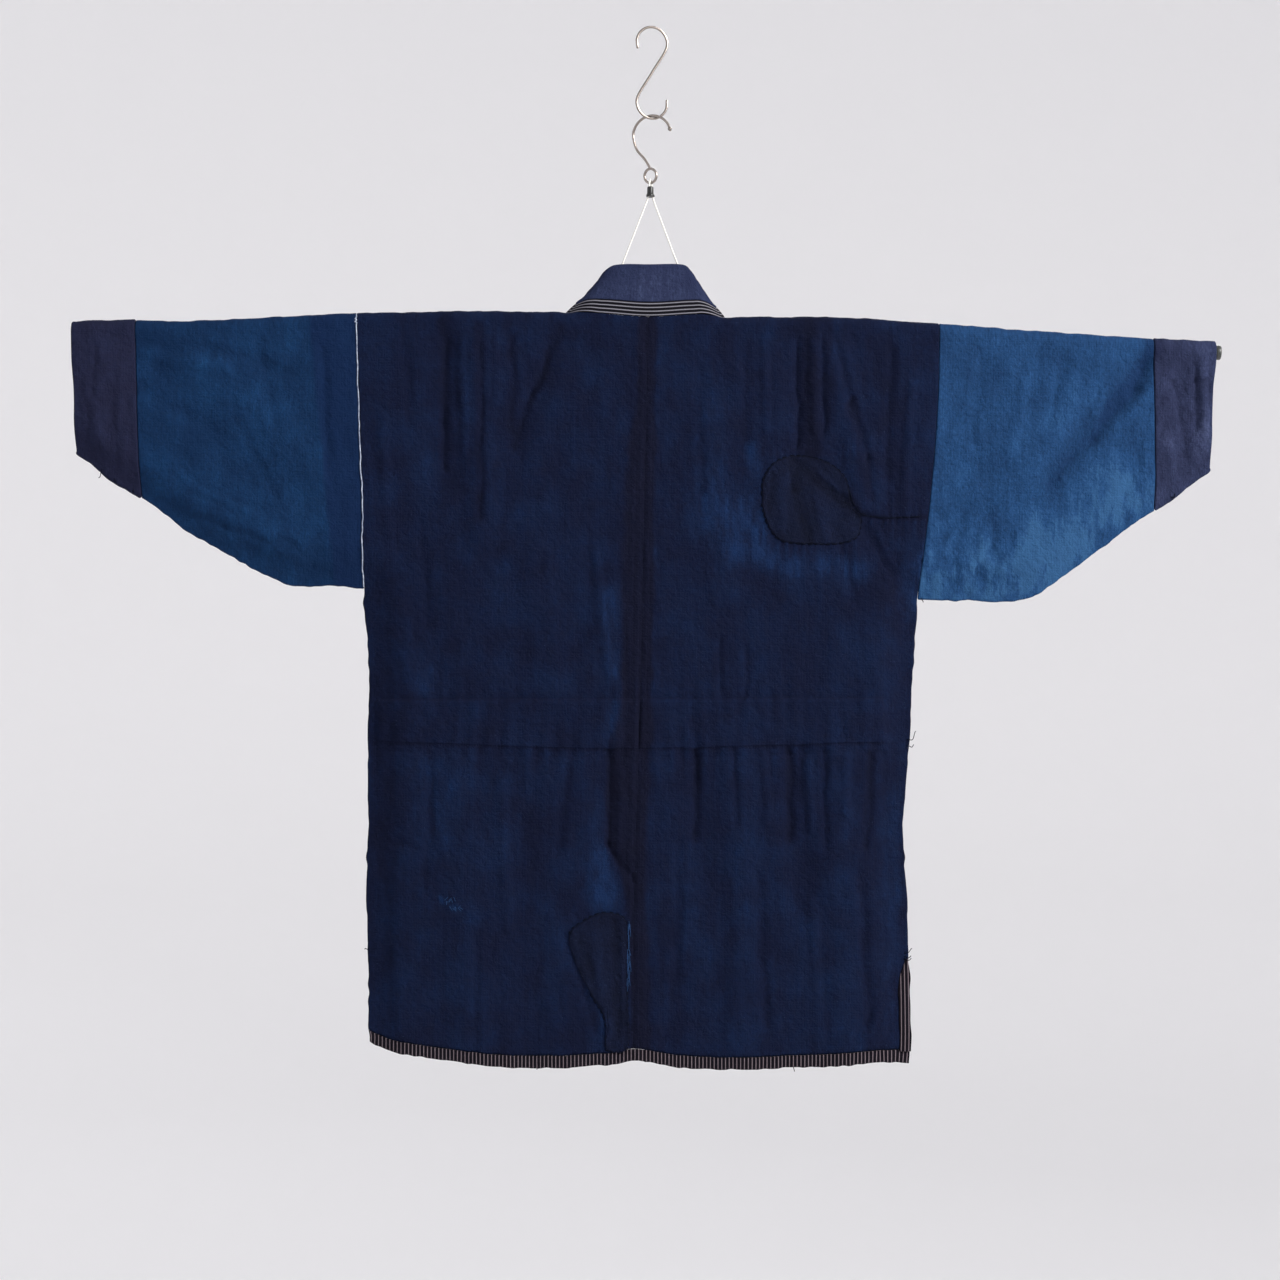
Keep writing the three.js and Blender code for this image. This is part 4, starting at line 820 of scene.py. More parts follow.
INDIGO_BACK = dyed_cotton("indigo_cotton_back", [
    (0.12, "#04091c"), (0.42, "#070f26"), (0.66, "#091833"), (0.95, "#102649"),
], "#0c0d1c", streak=0.20, mottle=0.34, heather=0.30, uneven=0.7)
BLUE_SLEEVE = dyed_cotton("blue_cotton_sleeve", [
    (0.12, "#071c36"), (0.45, "#0b223e"), (0.68, "#0f2b4b"), (0.95, "#173b60"),
], "#0c1b39", streak=0.16, mottle=0.34, heather=0.34, uneven=0.3)
FADED_SLEEVE = dyed_cotton("faded_cotton_sleeve", [
    (0.10, "#0c2240"), (0.42, "#142f4f"), (0.66, "#1a395e"), (0.95, "#27496d"),
], "#1a2b4a", streak=0.24, mottle=0.40, heather=0.50, uneven=0.3)
PURPLE_CUFF = dyed_cotton("purple_cotton_cuff", [
    (0.12, "#121427"), (0.45, "#171a2d"), (0.68, "#1a1f35"), (0.95, "#242a44"),
], "#19182c", streak=0.14, mottle=0.3, heather=0.34)
VIOLET_CUFF = dyed_cotton("worn_violet_cotton_cuff", [
    (0.12, "#151b30"), (0.42, "#1e2439"), (0.66, "#242b43"), (0.95, "#353d57"),
], "#202139", streak=0.18, mottle=0.6, heather=0.5)
VIOLET_COLLAR = dyed_cotton("worn_violet_cotton_collar", [
    (0.12, "#171e35"), (0.42, "#1d253c"), (0.66, "#232b43"), (0.95, "#343e58"),
], "#21213c", streak=0.2, mottle=0.34, heather=0.44)
PATCH_INDIGO = dyed_cotton("indigo_cotton_patch", [
    (0.12, "#040815"), (0.45, "#070e20"), (0.70, "#0b142a"), (0.95, "#13213e"),
], "#0e0c19", streak=0.16, mottle=0.36, heather=0.34)
HEM_STRIPES = striped_cotton("striped_cotton_hem", [
    (0.0, "#06040a"), (0.76, "#0a070b"), (0.90, "#43393f"), (0.99, "#746a70"),
], wander=1.0)
COLLAR_STRIPES = striped_cotton("striped_cotton_collar_band", [
    (0.0, "#06060b"), (0.64, "#09090f"), (0.80, "#45444c"), (0.95, "#7b7a82"),
], wander=0.2)

# Twisted cotton cord, washed with the indigo cloth: soft, matt, pale with blue-grey stains.
WHITE_THREAD = plain_finish("washed_cotton_cord", "#59627a", 0.85, grain=0.4, grain_scale=260.0,
                            second="#a7afbf", gloss=0.08)
# Cotton sewing thread dyed in the same vat: matt, nearly black where fresh and blue where faded.
DARK_THREAD = plain_finish("indigo_cotton_thread", "#03050c", 0.9, grain=0.4, grain_scale=900.0,
                           second="#090d1a", gloss=0.04)
FADED_THREAD = plain_finish("faded_cotton_thread", "#16294a", 0.9, grain=0.4, grain_scale=900.0,
                            second="#2a4266", gloss=0.04)
# Stained bamboo: split and smoked, satin, with long fibres.
BAMBOO = plain_finish("smoked_bamboo", "#2e2a22", 0.45, grain=0.3, grain_scale=300.0,
                      stretch=(0.03, 1.0, 1.0), second="#4a4538")
# Moulded ABS with a fine spark-eroded grain, satin.
CAP_PLASTIC = plain_finish("moulded_abs_cap", "#1d2020", 0.42, grain=0.15, grain_scale=2500.0,
                           second="#2b2f2c")
MOULDED_PLASTIC = plain_finish("moulded_nylon_lock", "#101112", 0.4, grain=0.15, grain_scale=2500.0,
                               second="#191a1b")
# Drawn stainless wire: bright, with die lines along its length.
STEEL_WIRE = plain_finish("drawn_steel_wire", "#7c736d", 0.3, metallic=1.0, ior=1.5, grain=0.12,
                          grain_scale=900.0, second="#989089")
# Braided bleached cotton cord, matt.
COTTON_CORD = plain_finish("braided_cotton_cord", "#c2c0bb", 0.9, grain=0.6, grain_scale=1400.0,
                           second="#dad8d2", gloss=0.1)


# Cloth pieces


def declare(piece, nodes, outside=INDIGO_BACK, inside=HEM_STRIPES):
    """Finishes a cloth piece with its outside and inside materials, and hides the solids it replaces."""
    piece.data.materials.append(outside)
    piece.data.materials.append(inside)
    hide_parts(*nodes)


def threads_of(points, extra=0.0):
    """Cloth coordinates in millimetres: across, along and a piece number."""
    return np.stack([points[..., 0], -points[..., 2], np.zeros(points.shape[:2]) + extra], -1)


# Lengths of a body panel's stretches: hem to tuck, within the tuck, and tuck to rod
BELOW_TUCK = 338.0
IN_TUCK = 48.0
ABOVE_TUCK = 400.0
FIRST_ROW = HEM_BAND_SHARE + 0.0009


def body_rows(finest):
    """Rows up a body panel about `finest` apart, closer at the tuck's two edges."""
    return np.concatenate([
        np.arange(FIRST_ROW, 0.96, finest / BELOW_TUCK), np.linspace(0.962, 1.03, 16),
        np.arange(1.06, 1.9, finest / IN_TUCK), np.linspace(1.9, 2.03, 16),
        np.arange(2.04, 3.0, finest / ABOVE_TUCK), np.linspace(3.0, 4.0, 9),
    ])


def plain_rows(finest):
    """Rows up a panel that has no tuck."""
    return np.concatenate([
        np.arange(FIRST_ROW, 1.0, finest / BELOW_TUCK), np.arange(1.0, 2.0, finest / IN_TUCK),
        np.arange(2.0, 3.0, finest / ABOVE_TUCK), np.linspace(3.0, 4.0, 9),
    ])


def ridge_wear_and_trough_shade(face, x, down):
    """Lighter on the ridges of the folds, creases and rumples and darker in their troughs: worn dye on the
    ridges, and painted light and shade that follow the relief; with the colour places and a soft unevenness
    of the dye.
    """
    # Painted light on the ridges and painted shade in the troughs, in step with the crease and fold heights
    wear_and_shade = 0.07 * stretches(CREASES[face], *wandering(x, down))
    wear_and_shade += 0.03 * stretches(LARGE_FOLDS[face], x, down)
    broken = 1 + 0.75 * crumple(x, down, 3.6, 18.0, 79) + 0.3 * crumple(x, down, 9.0, 12.0, 80)
    spots = stretches(TONES[face], *wandering(x, down)) * broken
    # Painted light and shade on the rumples, in step with their height
    wear_and_shade += 0.10 * rumples(x, down)
    return wear_and_shade + spots + 0.06 * crumple(x + 0.3 * down, down, 14.0, 26.0, 77)


def back_tone(x, down):
    """Tone of the back: 0.5 is even, less is darker in the centre band and along the centre seam's line and
    stitch rows; painted shade along the tuck's two edges and the seam from the oval patch, and painted light
    and shade on the gathers below the tuck and round the oval patch.
    """
    tone = 0.5 + ridge_wear_and_trough_shade("back", x, down)
    streaks = crumple(x - centre_x(down), down, 2.4, 110.0, 73)
    tone -= in_band(x, down) * (0.22 + 0.12 * streaks) + 0.3 * seam_lines(x, down)
    # Painted shade along the tuck's stitched upper line and under its folded lower edge
    tuck_edge_shade = soft_line(down - tuck_upper(x), 1.3) + soft_line(down - tuck_lower(x) - 1, 1.8)
    # Painted light on the gathers' crests and painted shade in their troughs, below the tuck and round the
    # oval patch, with the painted shadow along the seam from it
    lower = 0.16 * puckers(x, down, tuck_lower(x), 34.0, 19.0, 23) * (down > tuck_lower(x))
    lower += stretches(SEAM_PAINTED_SHADOW, x, down) + 0.24 * oval_puckers(x, down)
    return tone - 0.15 * between(x, TUCK_START, TUCK_END, 8) * tuck_edge_shade + lower


def back_warm(x, down):
    """Share of the purple in the back's dye."""
    return 0.36 * in_band(x, down) + 0.15 * stretches(PURPLE_FOLD, x, down)


def body_piece(side, face, name, rows, shares, wall, relief):
    """A body panel, or the band along its hem, as a closed wall."""
    share, row = shares[:, None], rows[None, :]
    inner = body_surface(side, face, share, row)
    outside = np.zeros(inner.shape)
    outside[..., 1] = FACING[face]
    outside[..., 2] = smooth(row - 3.0)
    normal = normals_of(inner, outside)
    x, down = inner[..., 0], -inner[..., 2]
    side_gap = np.abs(x - side_x[side](down))
    inner_gap = np.abs(x - panel_span(side, face, down)[0])
    above_hem = level_down(side, face, share, rows[0]) - down
    rounding = edge_round(np.minimum(np.minimum(side_gap, inner_gap), above_hem))
    lift = relief(x, down, np.broadcast_to(row, x.shape)) * smooth(side_gap / 12)
    outer = inner + normal * (wall * rounding + lift * smooth(inner_gap / 2))[..., None]
    if face == "back":
        tone = back_tone(x, down)
        warm = back_warm(x, down)
    else:
        tone = 0.5 + ridge_wear_and_trough_shade("front", x, down)
        warm = np.zeros(x.shape)
    hem_gap = level_down(side, face, share, 0.0 * row) - down
    shift = worn_outline(x, down, side, side_gap, hem_gap)
    return shell(name, inner + shift, outer + shift, threads_of(inner), tone, warm)


PANELS = {
    "back": {"width": 310.0, "step": 2.45, "band": 290.0, "rows": body_rows, "relief": back_relief,
             "more_nodes": ()},
    "front": {"width": 225.0, "step": 4.2, "band": 215.0, "rows": plain_rows, "relief": plain_relief,
              "more_nodes": ("_side", "_shoulder")},
}


def make_body():
    """The four body panels, each with the striped band along its hem."""
    for side in SIDES:
        for face, panel in PANELS.items():
            width = panel["width"]
            shares = steps_with_edges(0.0, 1.0, int(width / panel["step"]), width)
            piece = body_piece(side, face, f"{face}_{side}_cloth", panel["rows"](panel["step"]), shares,
                               CLOTH_WALL, panel["relief"])
            nodes = [f"{face}_{side}{more}" for more in ("", *panel["more_nodes"])]
            declare(piece, nodes)
            band_rows = steps_with_edges(0.0, HEM_BAND_SHARE, 4, 12.0)
            band = body_piece(side, face, f"hem_band_{face}_{side}_cloth", band_rows, shares,
                              HEM_BAND_WALL, plain_relief)
            declare(band, [f"hem_band_{face}_{side}"],
                    outside=HEM_STRIPES)


# Sleeves and cuffs

SLEEVE_TOP_LEVEL = 320.0
SLEEVE_FOOT_LEVEL = 560.0
UNDERSIDE_HALF_GAP = 0.4
FAR_FROM_EDGE = 100.0
# The sleeves and cuffs take a cloth number apart from the body's, so that they share no streak with it
SLEEVE_CLOTH = 40.0


def sleeve_surface(side, start_x, end_x, along):
    """Inner rings of a sleeve: over the rod, down the back, round the fold, up the front."""
    along = along[:, None]

    def x_at(down):
        return lerp(start_x(down), end_x(down), along)

    top_x = x_at(shoulder_down(x_at(np.array([[SLEEVE_TOP_LEVEL]]))))
    bottom_x = x_at(underside_down(x_at(np.array([[SLEEVE_FOOT_LEVEL]]))))
    axis = rod_axis_down(top_x)
    bottom = underside_down(bottom_x) - CLOTH_WALL - UNDERSIDE_HALF_GAP

    def over_rod(facing, degrees):
        angle = np.radians(degrees)[None, :]
        return facing * OVER_ROD * np.cos(angle) + 0 * axis, axis - OVER_ROD * np.sin(angle)

    def down_side(face, shares):
        down = lerp(axis, bottom, shares[None, :])
        x = x_at(down)
        away = underside_down(bottom_x) - down
        fade = smooth(away / SEAM_CLOSING) * smooth((down - axis) / 25)
        fade = fade * smooth(np.abs(x - side_x[side](down)) / 25)
        depth = half_depth(x, down, away, UNDERSIDE_HALF_GAP) + fold_height(face, x, down) * fade
        return FACING[face] * depth, down

    shares = np.linspace(0.0, 1.0, 84)[:-1]
    degrees = np.linspace(90.0, 0.0, 7)[:-1]
    fold = np.radians(np.linspace(0.0, 180.0, 7))[None, :]
    parts = [
        over_rod(-1.0, degrees),
        down_side("back", shares),
        (-UNDERSIDE_HALF_GAP * np.cos(fold) + 0 * axis, bottom + UNDERSIDE_HALF_GAP * np.sin(fold)),
        down_side("front", shares[::-1]),
        over_rod(1.0, degrees[:0:-1]),
    ]
    y, down = (np.concatenate(values, axis=1) for values in zip(*parts))
    return np.stack([x_at(down), y, -down], axis=-1)


def ring_normals(points):
    """Unit normals of closed rings, out of the sleeve."""
    along_i = np.gradient(points, axis=0)
    along_j = np.roll(points, -1, axis=1) - np.roll(points, 1, axis=1)
    normal = np.cross(along_j, along_i)
    normal /= np.linalg.norm(normal, axis=-1, keepdims=True) + 1e-12
    back_half = normal[:, : points.shape[1] // 2, 1]
    return normal if np.sum(back_half) < 0 else -normal


def make_tube(name, side, start_x, end_x, steps, length, wall, tone_of, warm_of):
    """A sleeve or cuff as a closed tube between two lines across it."""
    along = steps_with_edges(0.0, 1.0, steps, length)
    inner = sleeve_surface(side, start_x, end_x, along)
    normal = ring_normals(inner)
    x, down = inner[..., 0], -inner[..., 2]
    distance = np.minimum(along, 1.0 - along)[:, None] * length
    body_side = smooth(distance / 3)
    outer = inner + normal * (wall * edge_round(distance) + sleeve_relief(x, down) * body_side)[..., None]
    shift = worn_outline(x, down, side, FAR_FROM_EDGE, underside_down(x) - down)
    shift[..., 0] = 0.0
    thread = threads_of(inner, SLEEVE_CLOTH)
    return shell(name, inner + shift, outer + shift, thread, tone_of(inner), warm_of(inner), around=True)


def rumples(x, down):
    """Short crossing rumples, only in the rumpled places."""
    total = np.zeros(np.broadcast(x, down).shape)
    for at_x, at_down, half_x, half_down, height in zip(*RUMPLES.values()):
        place = np.exp(-((x - at_x) / half_x) ** 2 - ((down - at_down) / half_down) ** 2)
        lean = crumple(x + 0.55 * down, down - 0.3 * x, 8.0, 17.0, 57)
        total += height * place * (lean + 0.5 * crumple(x - 0.4 * down, down, 5.0, 9.0, 58))
    return total


def sleeve_relief(x, down):
    return cloth_hand(x, down, 51) + rumples(x, down)


def face_tone(points):
    """Tone of a sleeve, from its back's folds at the back and its front's at the front: worn dye with
    painted light and shade that follow the relief.
    """
    x, down = points[..., 0], -points[..., 2]
    back, front = ridge_wear_and_trough_shade("back", x, down), ridge_wear_and_trough_shade("front", x, down)
    return 0.5 + np.where(points[..., 1] < 0, back, front)


def in_strip(points):
    """1 within the purple strip along the left armhole."""
    return smooth((points[..., 0] - strip_edge_x(-points[..., 2])) / 3 + 0.5)


def left_sleeve_tone(points):
    return face_tone(points) - 0.30 * in_strip(points)


def left_sleeve_warm(points):
    return 0.45 * in_strip(points)


def no_warm(points):
    return np.zeros(points.shape[:2])


SLEEVE_SHEET = (240.0, 530.0)
CUFF_SHEET = (64.0, 330.0)
SLEEVE_CLOTHS = {
    "left": {"sleeve": BLUE_SLEEVE, "cuff": PURPLE_CUFF, "slot": "sleeve_blue", "cuff_slot": "cuff_purple",
             "tone": left_sleeve_tone, "warm": left_sleeve_warm},
    "right": {"sleeve": FADED_SLEEVE, "cuff": VIOLET_CUFF, "slot": "sleeve_faded",
              "cuff_slot": "cuff_violet", "tone": face_tone, "warm": no_warm},
}


def beside(line, side):
    """A line across the sleeve, moved outward by the gap of a seam."""
    return lambda down: line(down) + OUTWARD[side] * SEAM_GAP


def make_sleeves():
    """The two sleeves and their cuffs, each of its own cloth."""
    for side, cloth in SLEEVE_CLOTHS.items():
        sleeve = make_tube(f"sleeve_{side}_cloth", side, beside(side_x[side], side), cuff_seam_x[side],
                           82, SLEEVE_SHEET[0], CLOTH_WALL, cloth["tone"], cloth["warm"])
        declare(sleeve, [f"sleeve_{side}"], outside=cloth["sleeve"])
        cuff = make_tube(f"cuff_{side}_cloth", side, beside(cuff_seam_x[side], side), cuff_end_x[side],
                         26, CUFF_SHEET[0], CUFF_WALL, face_tone, no_warm)
        declare(cuff, [f"cuff_{side}"], outside=cloth["cuff"])


# Collar and the striped band at its foot

COLLAR_HEIGHT = 45.0
BASE_HEIGHT = 14.0
COLLAR_STEP = 3.0
FRONT_LENGTH = 790.0
FIRST_STRIPE = 0.6
COLLAR_CLOTH = 70.0


def collar_side(side):
    """Seam and free edge of one half of the collar, from the hem to the back's middle."""
    to_centre = -OUTWARD[side]
    turns = COLLAR_TURNS[side]
    free_at = [curve(turns, "turn", key) for key in ("x", "y", "down")]

    def free_edge(turn):
        return np.stack([free_at[0](turn), free_at[1](turn), -free_at[2](turn)], axis=-1)

    rows = np.linspace(0.0, 3.0, int(FRONT_LENGTH / COLLAR_STEP))
    seam = body_surface(side, "front", np.array(0.0), rows)
    seam[:, 0] += to_centre * SEAM_GAP
    down = -seam[:, 2]
    free = np.stack([centre_x(down) - to_centre * opening_free(down), seam[:, 1], seam[:, 2]], axis=-1)
    free += (free_edge(np.array(0.0)) - free[-1]) * smooth((rows - 2.86) / 0.14)[:, None]

    turn = np.linspace(0.0, 1.0, 10)[1:]
    over = body_surface(side, "front", np.array(0.0), 3.0 + turn)
    over[:, 0] += to_centre * SEAM_GAP
    width = abs(side_x[side](SHOULDER_LEVEL) - centre_x(SHOULDER_LEVEL))
    neck = np.linspace(1.0, 0.0, 34)[1:]
    share = neck * NECK_HALF[side] / width
    behind = body_surface(side, "back", share, np.array(4.0))
    before = body_surface(side, "back", share, np.array(3.97))
    upward = behind - before
    upward /= np.linalg.norm(upward, axis=-1, keepdims=True)
    behind = behind + upward * (SEAM_GAP + 0.5 * smooth((neck - 0.6) / 0.1))[:, None]
    seam = np.concatenate([seam, over, behind])
    free = np.concatenate([free, free_edge(turn), free_edge(2.0 - neck)])
    return seam, free


def collar_edges():
    """Seam and free edge of the whole collar, from one front's hem round to the other's."""
    return [np.concatenate([left, right[-2::-1]]) for left, right in zip(*map(collar_side, SIDES))]


def collar_strip(name, seam, free, start, end, cells, wall, relief, stripes):
    """A strip of the collar between two distances from its seam; end None is the free edge."""
    length = np.linalg.norm(free - seam, axis=-1)
    reach = length if end is None else np.minimum(length, end)
    t = steps_with_edges(0.0, 1.0, cells, BASE_HEIGHT if stripes else COLLAR_HEIGHT)
    distance = lerp(start, reach[:, None], t[None, :])
    inner = lerp(seam[:, None, :], free[:, None, :], (distance / length[:, None])[..., None])
    along = np.gradient(inner, axis=0)
    across = np.gradient(inner, axis=1)
    normal = np.cross(along, across)
    normal /= np.linalg.norm(normal, axis=-1, keepdims=True) + 1e-12
    run = np.concatenate([[0.0], np.cumsum(np.linalg.norm(np.diff(seam, axis=0), axis=-1))])
    run = np.broadcast_to(run[:, None], distance.shape)
    none = np.zeros(run.shape)
    if stripes:
        inner = inner + normal * SEAM_GAP
        thread = np.stack([distance + FIRST_STRIPE, run, none], axis=-1)
        tone = none + 0.5
    else:
        thread = np.stack([run, distance, none + COLLAR_CLOTH], axis=-1)
        tone = 0.5 + 0.18 * crumple(run, distance, 60.0, 20.0, 61)
    edge = np.minimum(distance - start, reach[:, None] - distance)
    thick = wall * edge_round(edge) + relief(run, distance, reach[:, None]) * smooth(edge / 3)
    outer = inner + normal * thick[..., None]
    return shell(name, inner, outer, thread, tone, none)


def collar_relief(run, distance, reach):
    """Wrinkles along the band, and the row of stitches that holds its folded edge."""
    wrinkles = 0.55 * crumple(run, distance, 46.0, 7.0, 63) + 0.22 * crumple(run, distance, 12.0, 4.0, 65)
    return wrinkles - 0.5 * soft_line(reach - distance - 5.0, 1.0)


def base_relief(run, distance, reach):
    return 0.15 * crumple(run, distance, 22.0, 9.0, 67) + 0 * reach


def make_collar():
    """The over-collar, and the striped base whose edge reaches a little way under it."""
    seam, free = collar_edges()
    collar_foot = BASE_BAND + BAND_GAP
    collar = collar_strip("collar_cloth", seam, free, collar_foot, None, 17, COLLAR_WALL, collar_relief,
                          stripes=False)
    declare(collar, ["collar", "collar_front_left", "collar_front_right"],
            outside=VIOLET_COLLAR, inside=VIOLET_COLLAR)
    base = collar_strip("collar_base_cloth", seam, free, 0.0, collar_foot + 0.5, 8, CLOTH_WALL,
                        base_relief, stripes=True)
    declare(base, ["collar_base"], outside=COLLAR_STRIPES,
            inside=COLLAR_STRIPES)


# Patches and the vent's striped edge, laid on the back's own skin


def back_skin(side, x, down, lift):
    """Points of the back's outer face, moved out by a lift."""
    away = body_away(side, x, down)
    fade = smooth(away / SEAM_CLOSING) * smooth((down - rod_axis_down(x)) / 25)
    depth = half_depth(x, down, away, body_shut(down)) + fold_height("back", x, down) * fade
    side_gap = np.abs(x - side_x[side](down))
    relief = back_relief(x, down, 0.0) * smooth(side_gap / 12)
    return np.stack([x, -(depth + CLOTH_WALL + relief + lift), -down], -1)


def closed_outline(rows, count):
    """A smooth closed line through the corner points of a table."""
    corners = points_of(rows)
    n = len(corners)
    place = np.arange(count) * n / count
    i = place.astype(int)
    t = (place - i)[:, None]
    before, at, after, beyond = (corners[(i + k) % n] for k in (-1, 0, 1, 2))
    bend = (2 * before - 5 * at + 4 * after - beyond) * t**2
    return at + 0.5 * ((after - before) * t + bend + (3 * at - before - 3 * after + beyond) * t**3)


CLOSER_TO_EDGE = 1.35


def disc_grid(outline, centre, cells):
    """A square grid of points bent to fill a closed outline, and its share of the way to the edge."""
    a, b = np.meshgrid(np.linspace(-1, 1, cells), np.linspace(-1, 1, cells), indexing="ij")
    wide = np.abs(a) >= np.abs(b)
    radius = np.where(wide, a, b)
    safe_a, safe_b = np.where(a == 0, 1, a), np.where(b == 0, 1, b)
    turn = np.where(wide, math.pi / 4 * b / safe_a, math.pi / 2 - math.pi / 4 * a / safe_b)
    turn = np.where(radius < 0, turn + math.pi, turn) % (2 * math.pi)
    away = outline - np.array(centre)
    angle = np.arctan2(away[:, 1], away[:, 0]) % (2 * math.pi)
    order = np.argsort(angle)
    reach = np.interp(turn, angle[order], np.hypot(*away.T)[order], period=2 * math.pi)
    share = 1 - (1 - np.abs(radius)) ** CLOSER_TO_EDGE
    x = centre[0] + reach * share * np.cos(turn)
    down = centre[1] + reach * share * np.sin(turn)
    return x, down, share, reach


PATCH_WALL = 0.9
PATCH_EDGE_WALL = 0.25
PATCH_CLOTH = 200.0


def patch_piece(name, side, rows, centre, cells, thread_turn, relief_rows):
    """A patch as a thin cloth on the back, with a turned edge that thins to the stitches."""
    outline = closed_outline(rows, 240)
    x, down, share, reach = disc_grid(outline, centre, cells)
    under = back_skin(side, x, down, SEAM_GAP)
    to_edge = reach * (1 - share)
    folds = stretches(relief_rows, x, down)
    relief = folds + 0.10 * crumple(x, down, 4.0, 9.0, 81)
    thick = PATCH_WALL * edge_round(to_edge) + relief * smooth(to_edge / 4)
    outer = under + np.stack([0 * x, -np.maximum(thick, PATCH_EDGE_WALL), 0 * x], -1)
    turn = math.radians(thread_turn)
    thread = np.stack([
        x * math.cos(turn) - down * math.sin(turn), x * math.sin(turn) + down * math.cos(turn),
        np.full(x.shape, PATCH_CLOTH),
    ], -1)
    # Painted light on the patch's fold ridges, painted shade in their troughs, and painted shade along the
    # last 2.5 mm of its edge
    tone = 0.5 + 0.16 * folds - 0.25 * smooth(1 - to_edge / 2.5)
    return shell(name, under, outer, thread, tone, np.zeros(x.shape))


def make_patches():
    """The oval patch on the right, and the leaf-shaped one by the hem."""
    oval = patch_piece("patch_oval_cloth", "right", OVAL_PATCH, OVAL_CENTRE, 72, 12, OVAL_FOLDS)
    declare(oval, ["patch_oval"], outside=PATCH_INDIGO,
            inside=PATCH_INDIGO)
    hem = patch_piece("patch_hem_cloth", "left", HEM_PATCH, HEM_PATCH_CENTRE, 64, -4, HEM_PATCH_FOLDS)
    declare(hem, ["patch_hem"], outside=PATCH_INDIGO,
            inside=PATCH_INDIGO)


VENT_BAND_TOP = 990.0
VENT_BAND_FOOT = 1088.0
VENT_BAND_SHEET = (12.6, 98.0)
VENT_BAND_INWARD = 8.6
VENT_BAND_OUTWARD = 2.4
VENT_BAND_POINT = 1.4
VENT_BAND_EDGE = 10.0
VENT_BAND_WALL = 0.8


def make_vent_band():
    """The lining's striped edge, rolled out to show along the right vent."""
    u = steps_with_edges(0.0, 1.0, 8, 14.0)[:, None]
    down = steps_with_edges(VENT_BAND_TOP, VENT_BAND_FOOT, 46, VENT_BAND_SHEET[1])[None, :]
    edge = side_x["right"](down)
    taper = smooth((down - VENT_BAND_TOP + 6) / 30)
    x = lerp(edge - VENT_BAND_INWARD * taper - VENT_BAND_POINT, edge + VENT_BAND_OUTWARD * taper, u)
    x = x + 0.9 * crumple(x * 0, down, 1.0, 16.0, 91)
    down = down + 0 * x
    none = 0 * x
    under = back_skin("right", x, down, SEAM_GAP)
    across = VENT_BAND_EDGE * np.minimum(u, 1 - u)
    distance = np.minimum(across, np.minimum(down - VENT_BAND_TOP, VENT_BAND_FOOT - down))
    roll = np.sin(np.pi * u) * (0.9 + 0.5 * crumple(x, down, 30.0, 14.0, 93))
    outer = under + np.stack([none, -(VENT_BAND_WALL * edge_round(distance) + roll + 0.1), none], -1)
    thread = np.stack([edge - x - 2.0, down, none], -1)
    band = shell("vent_band_cloth", under, outer, thread, none + 0.5, none)
    declare(band, ["vent_band_right"], outside=HEM_STRIPES,
            inside=INDIGO_BACK)


# Threads, cords and wires


def through(points, per_step):
    """A smooth line through points, with the spacing of the points taken into account."""
    points = np.array(points, float)
    ends = 2 * points[[0, -1]] - points[[1, -2]]
    p = np.concatenate([ends[:1], points, ends[1:]])
    step = np.maximum(np.linalg.norm(np.diff(p, axis=0), axis=1), 1e-6) ** 0.5
    line = []
    for i in range(1, len(p) - 2):
        a, b, c = step[i - 1], step[i], step[i + 1]
        leave = (p[i] - p[i - 1]) / a - (p[i + 1] - p[i - 1]) / (a + b) + (p[i + 1] - p[i]) / b
        reach = (p[i + 1] - p[i]) / b - (p[i + 2] - p[i]) / (b + c) + (p[i + 2] - p[i + 1]) / c
        t = np.linspace(0, 1, per_step, endpoint=False)[:, None]
        rise = p[i + 1] - p[i]
        bend = (leave * b - rise) * (1 - t) - (reach * b - rise) * t
        line.append(p[i] + rise * t + bend * t * (1 - t))
    return np.concatenate([*line, points[-1:]])


END_RINGS = np.array([0.0, 0.5, 0.86])
END_POINT = 0.04
END_LENGTH = 0.8


def with_rounded_ends(line, radius):
    """A line with its directions and radii, drawn out at both ends to rounded tips."""
    size = np.broadcast_to(radius, len(line)).astype(float)
    along = np.gradient(line, axis=0)
    along /= np.linalg.norm(along, axis=1, keepdims=True)
    reach = END_LENGTH * np.sqrt(1 - END_RINGS[:, None] ** 2)
    first = line[0] - along[0] * size[0] * reach
    last = line[-1] + along[-1] * size[-1] * reach[::-1]
    narrow = np.maximum(END_RINGS, END_POINT)
    line = np.concatenate([first, line, last])
    along = np.concatenate([along[[0, 0, 0]], along, along[[-1, -1, -1]]])
    size = np.concatenate([size[0] * narrow, size, size[-1] * narrow[::-1]])
    return line, along, size


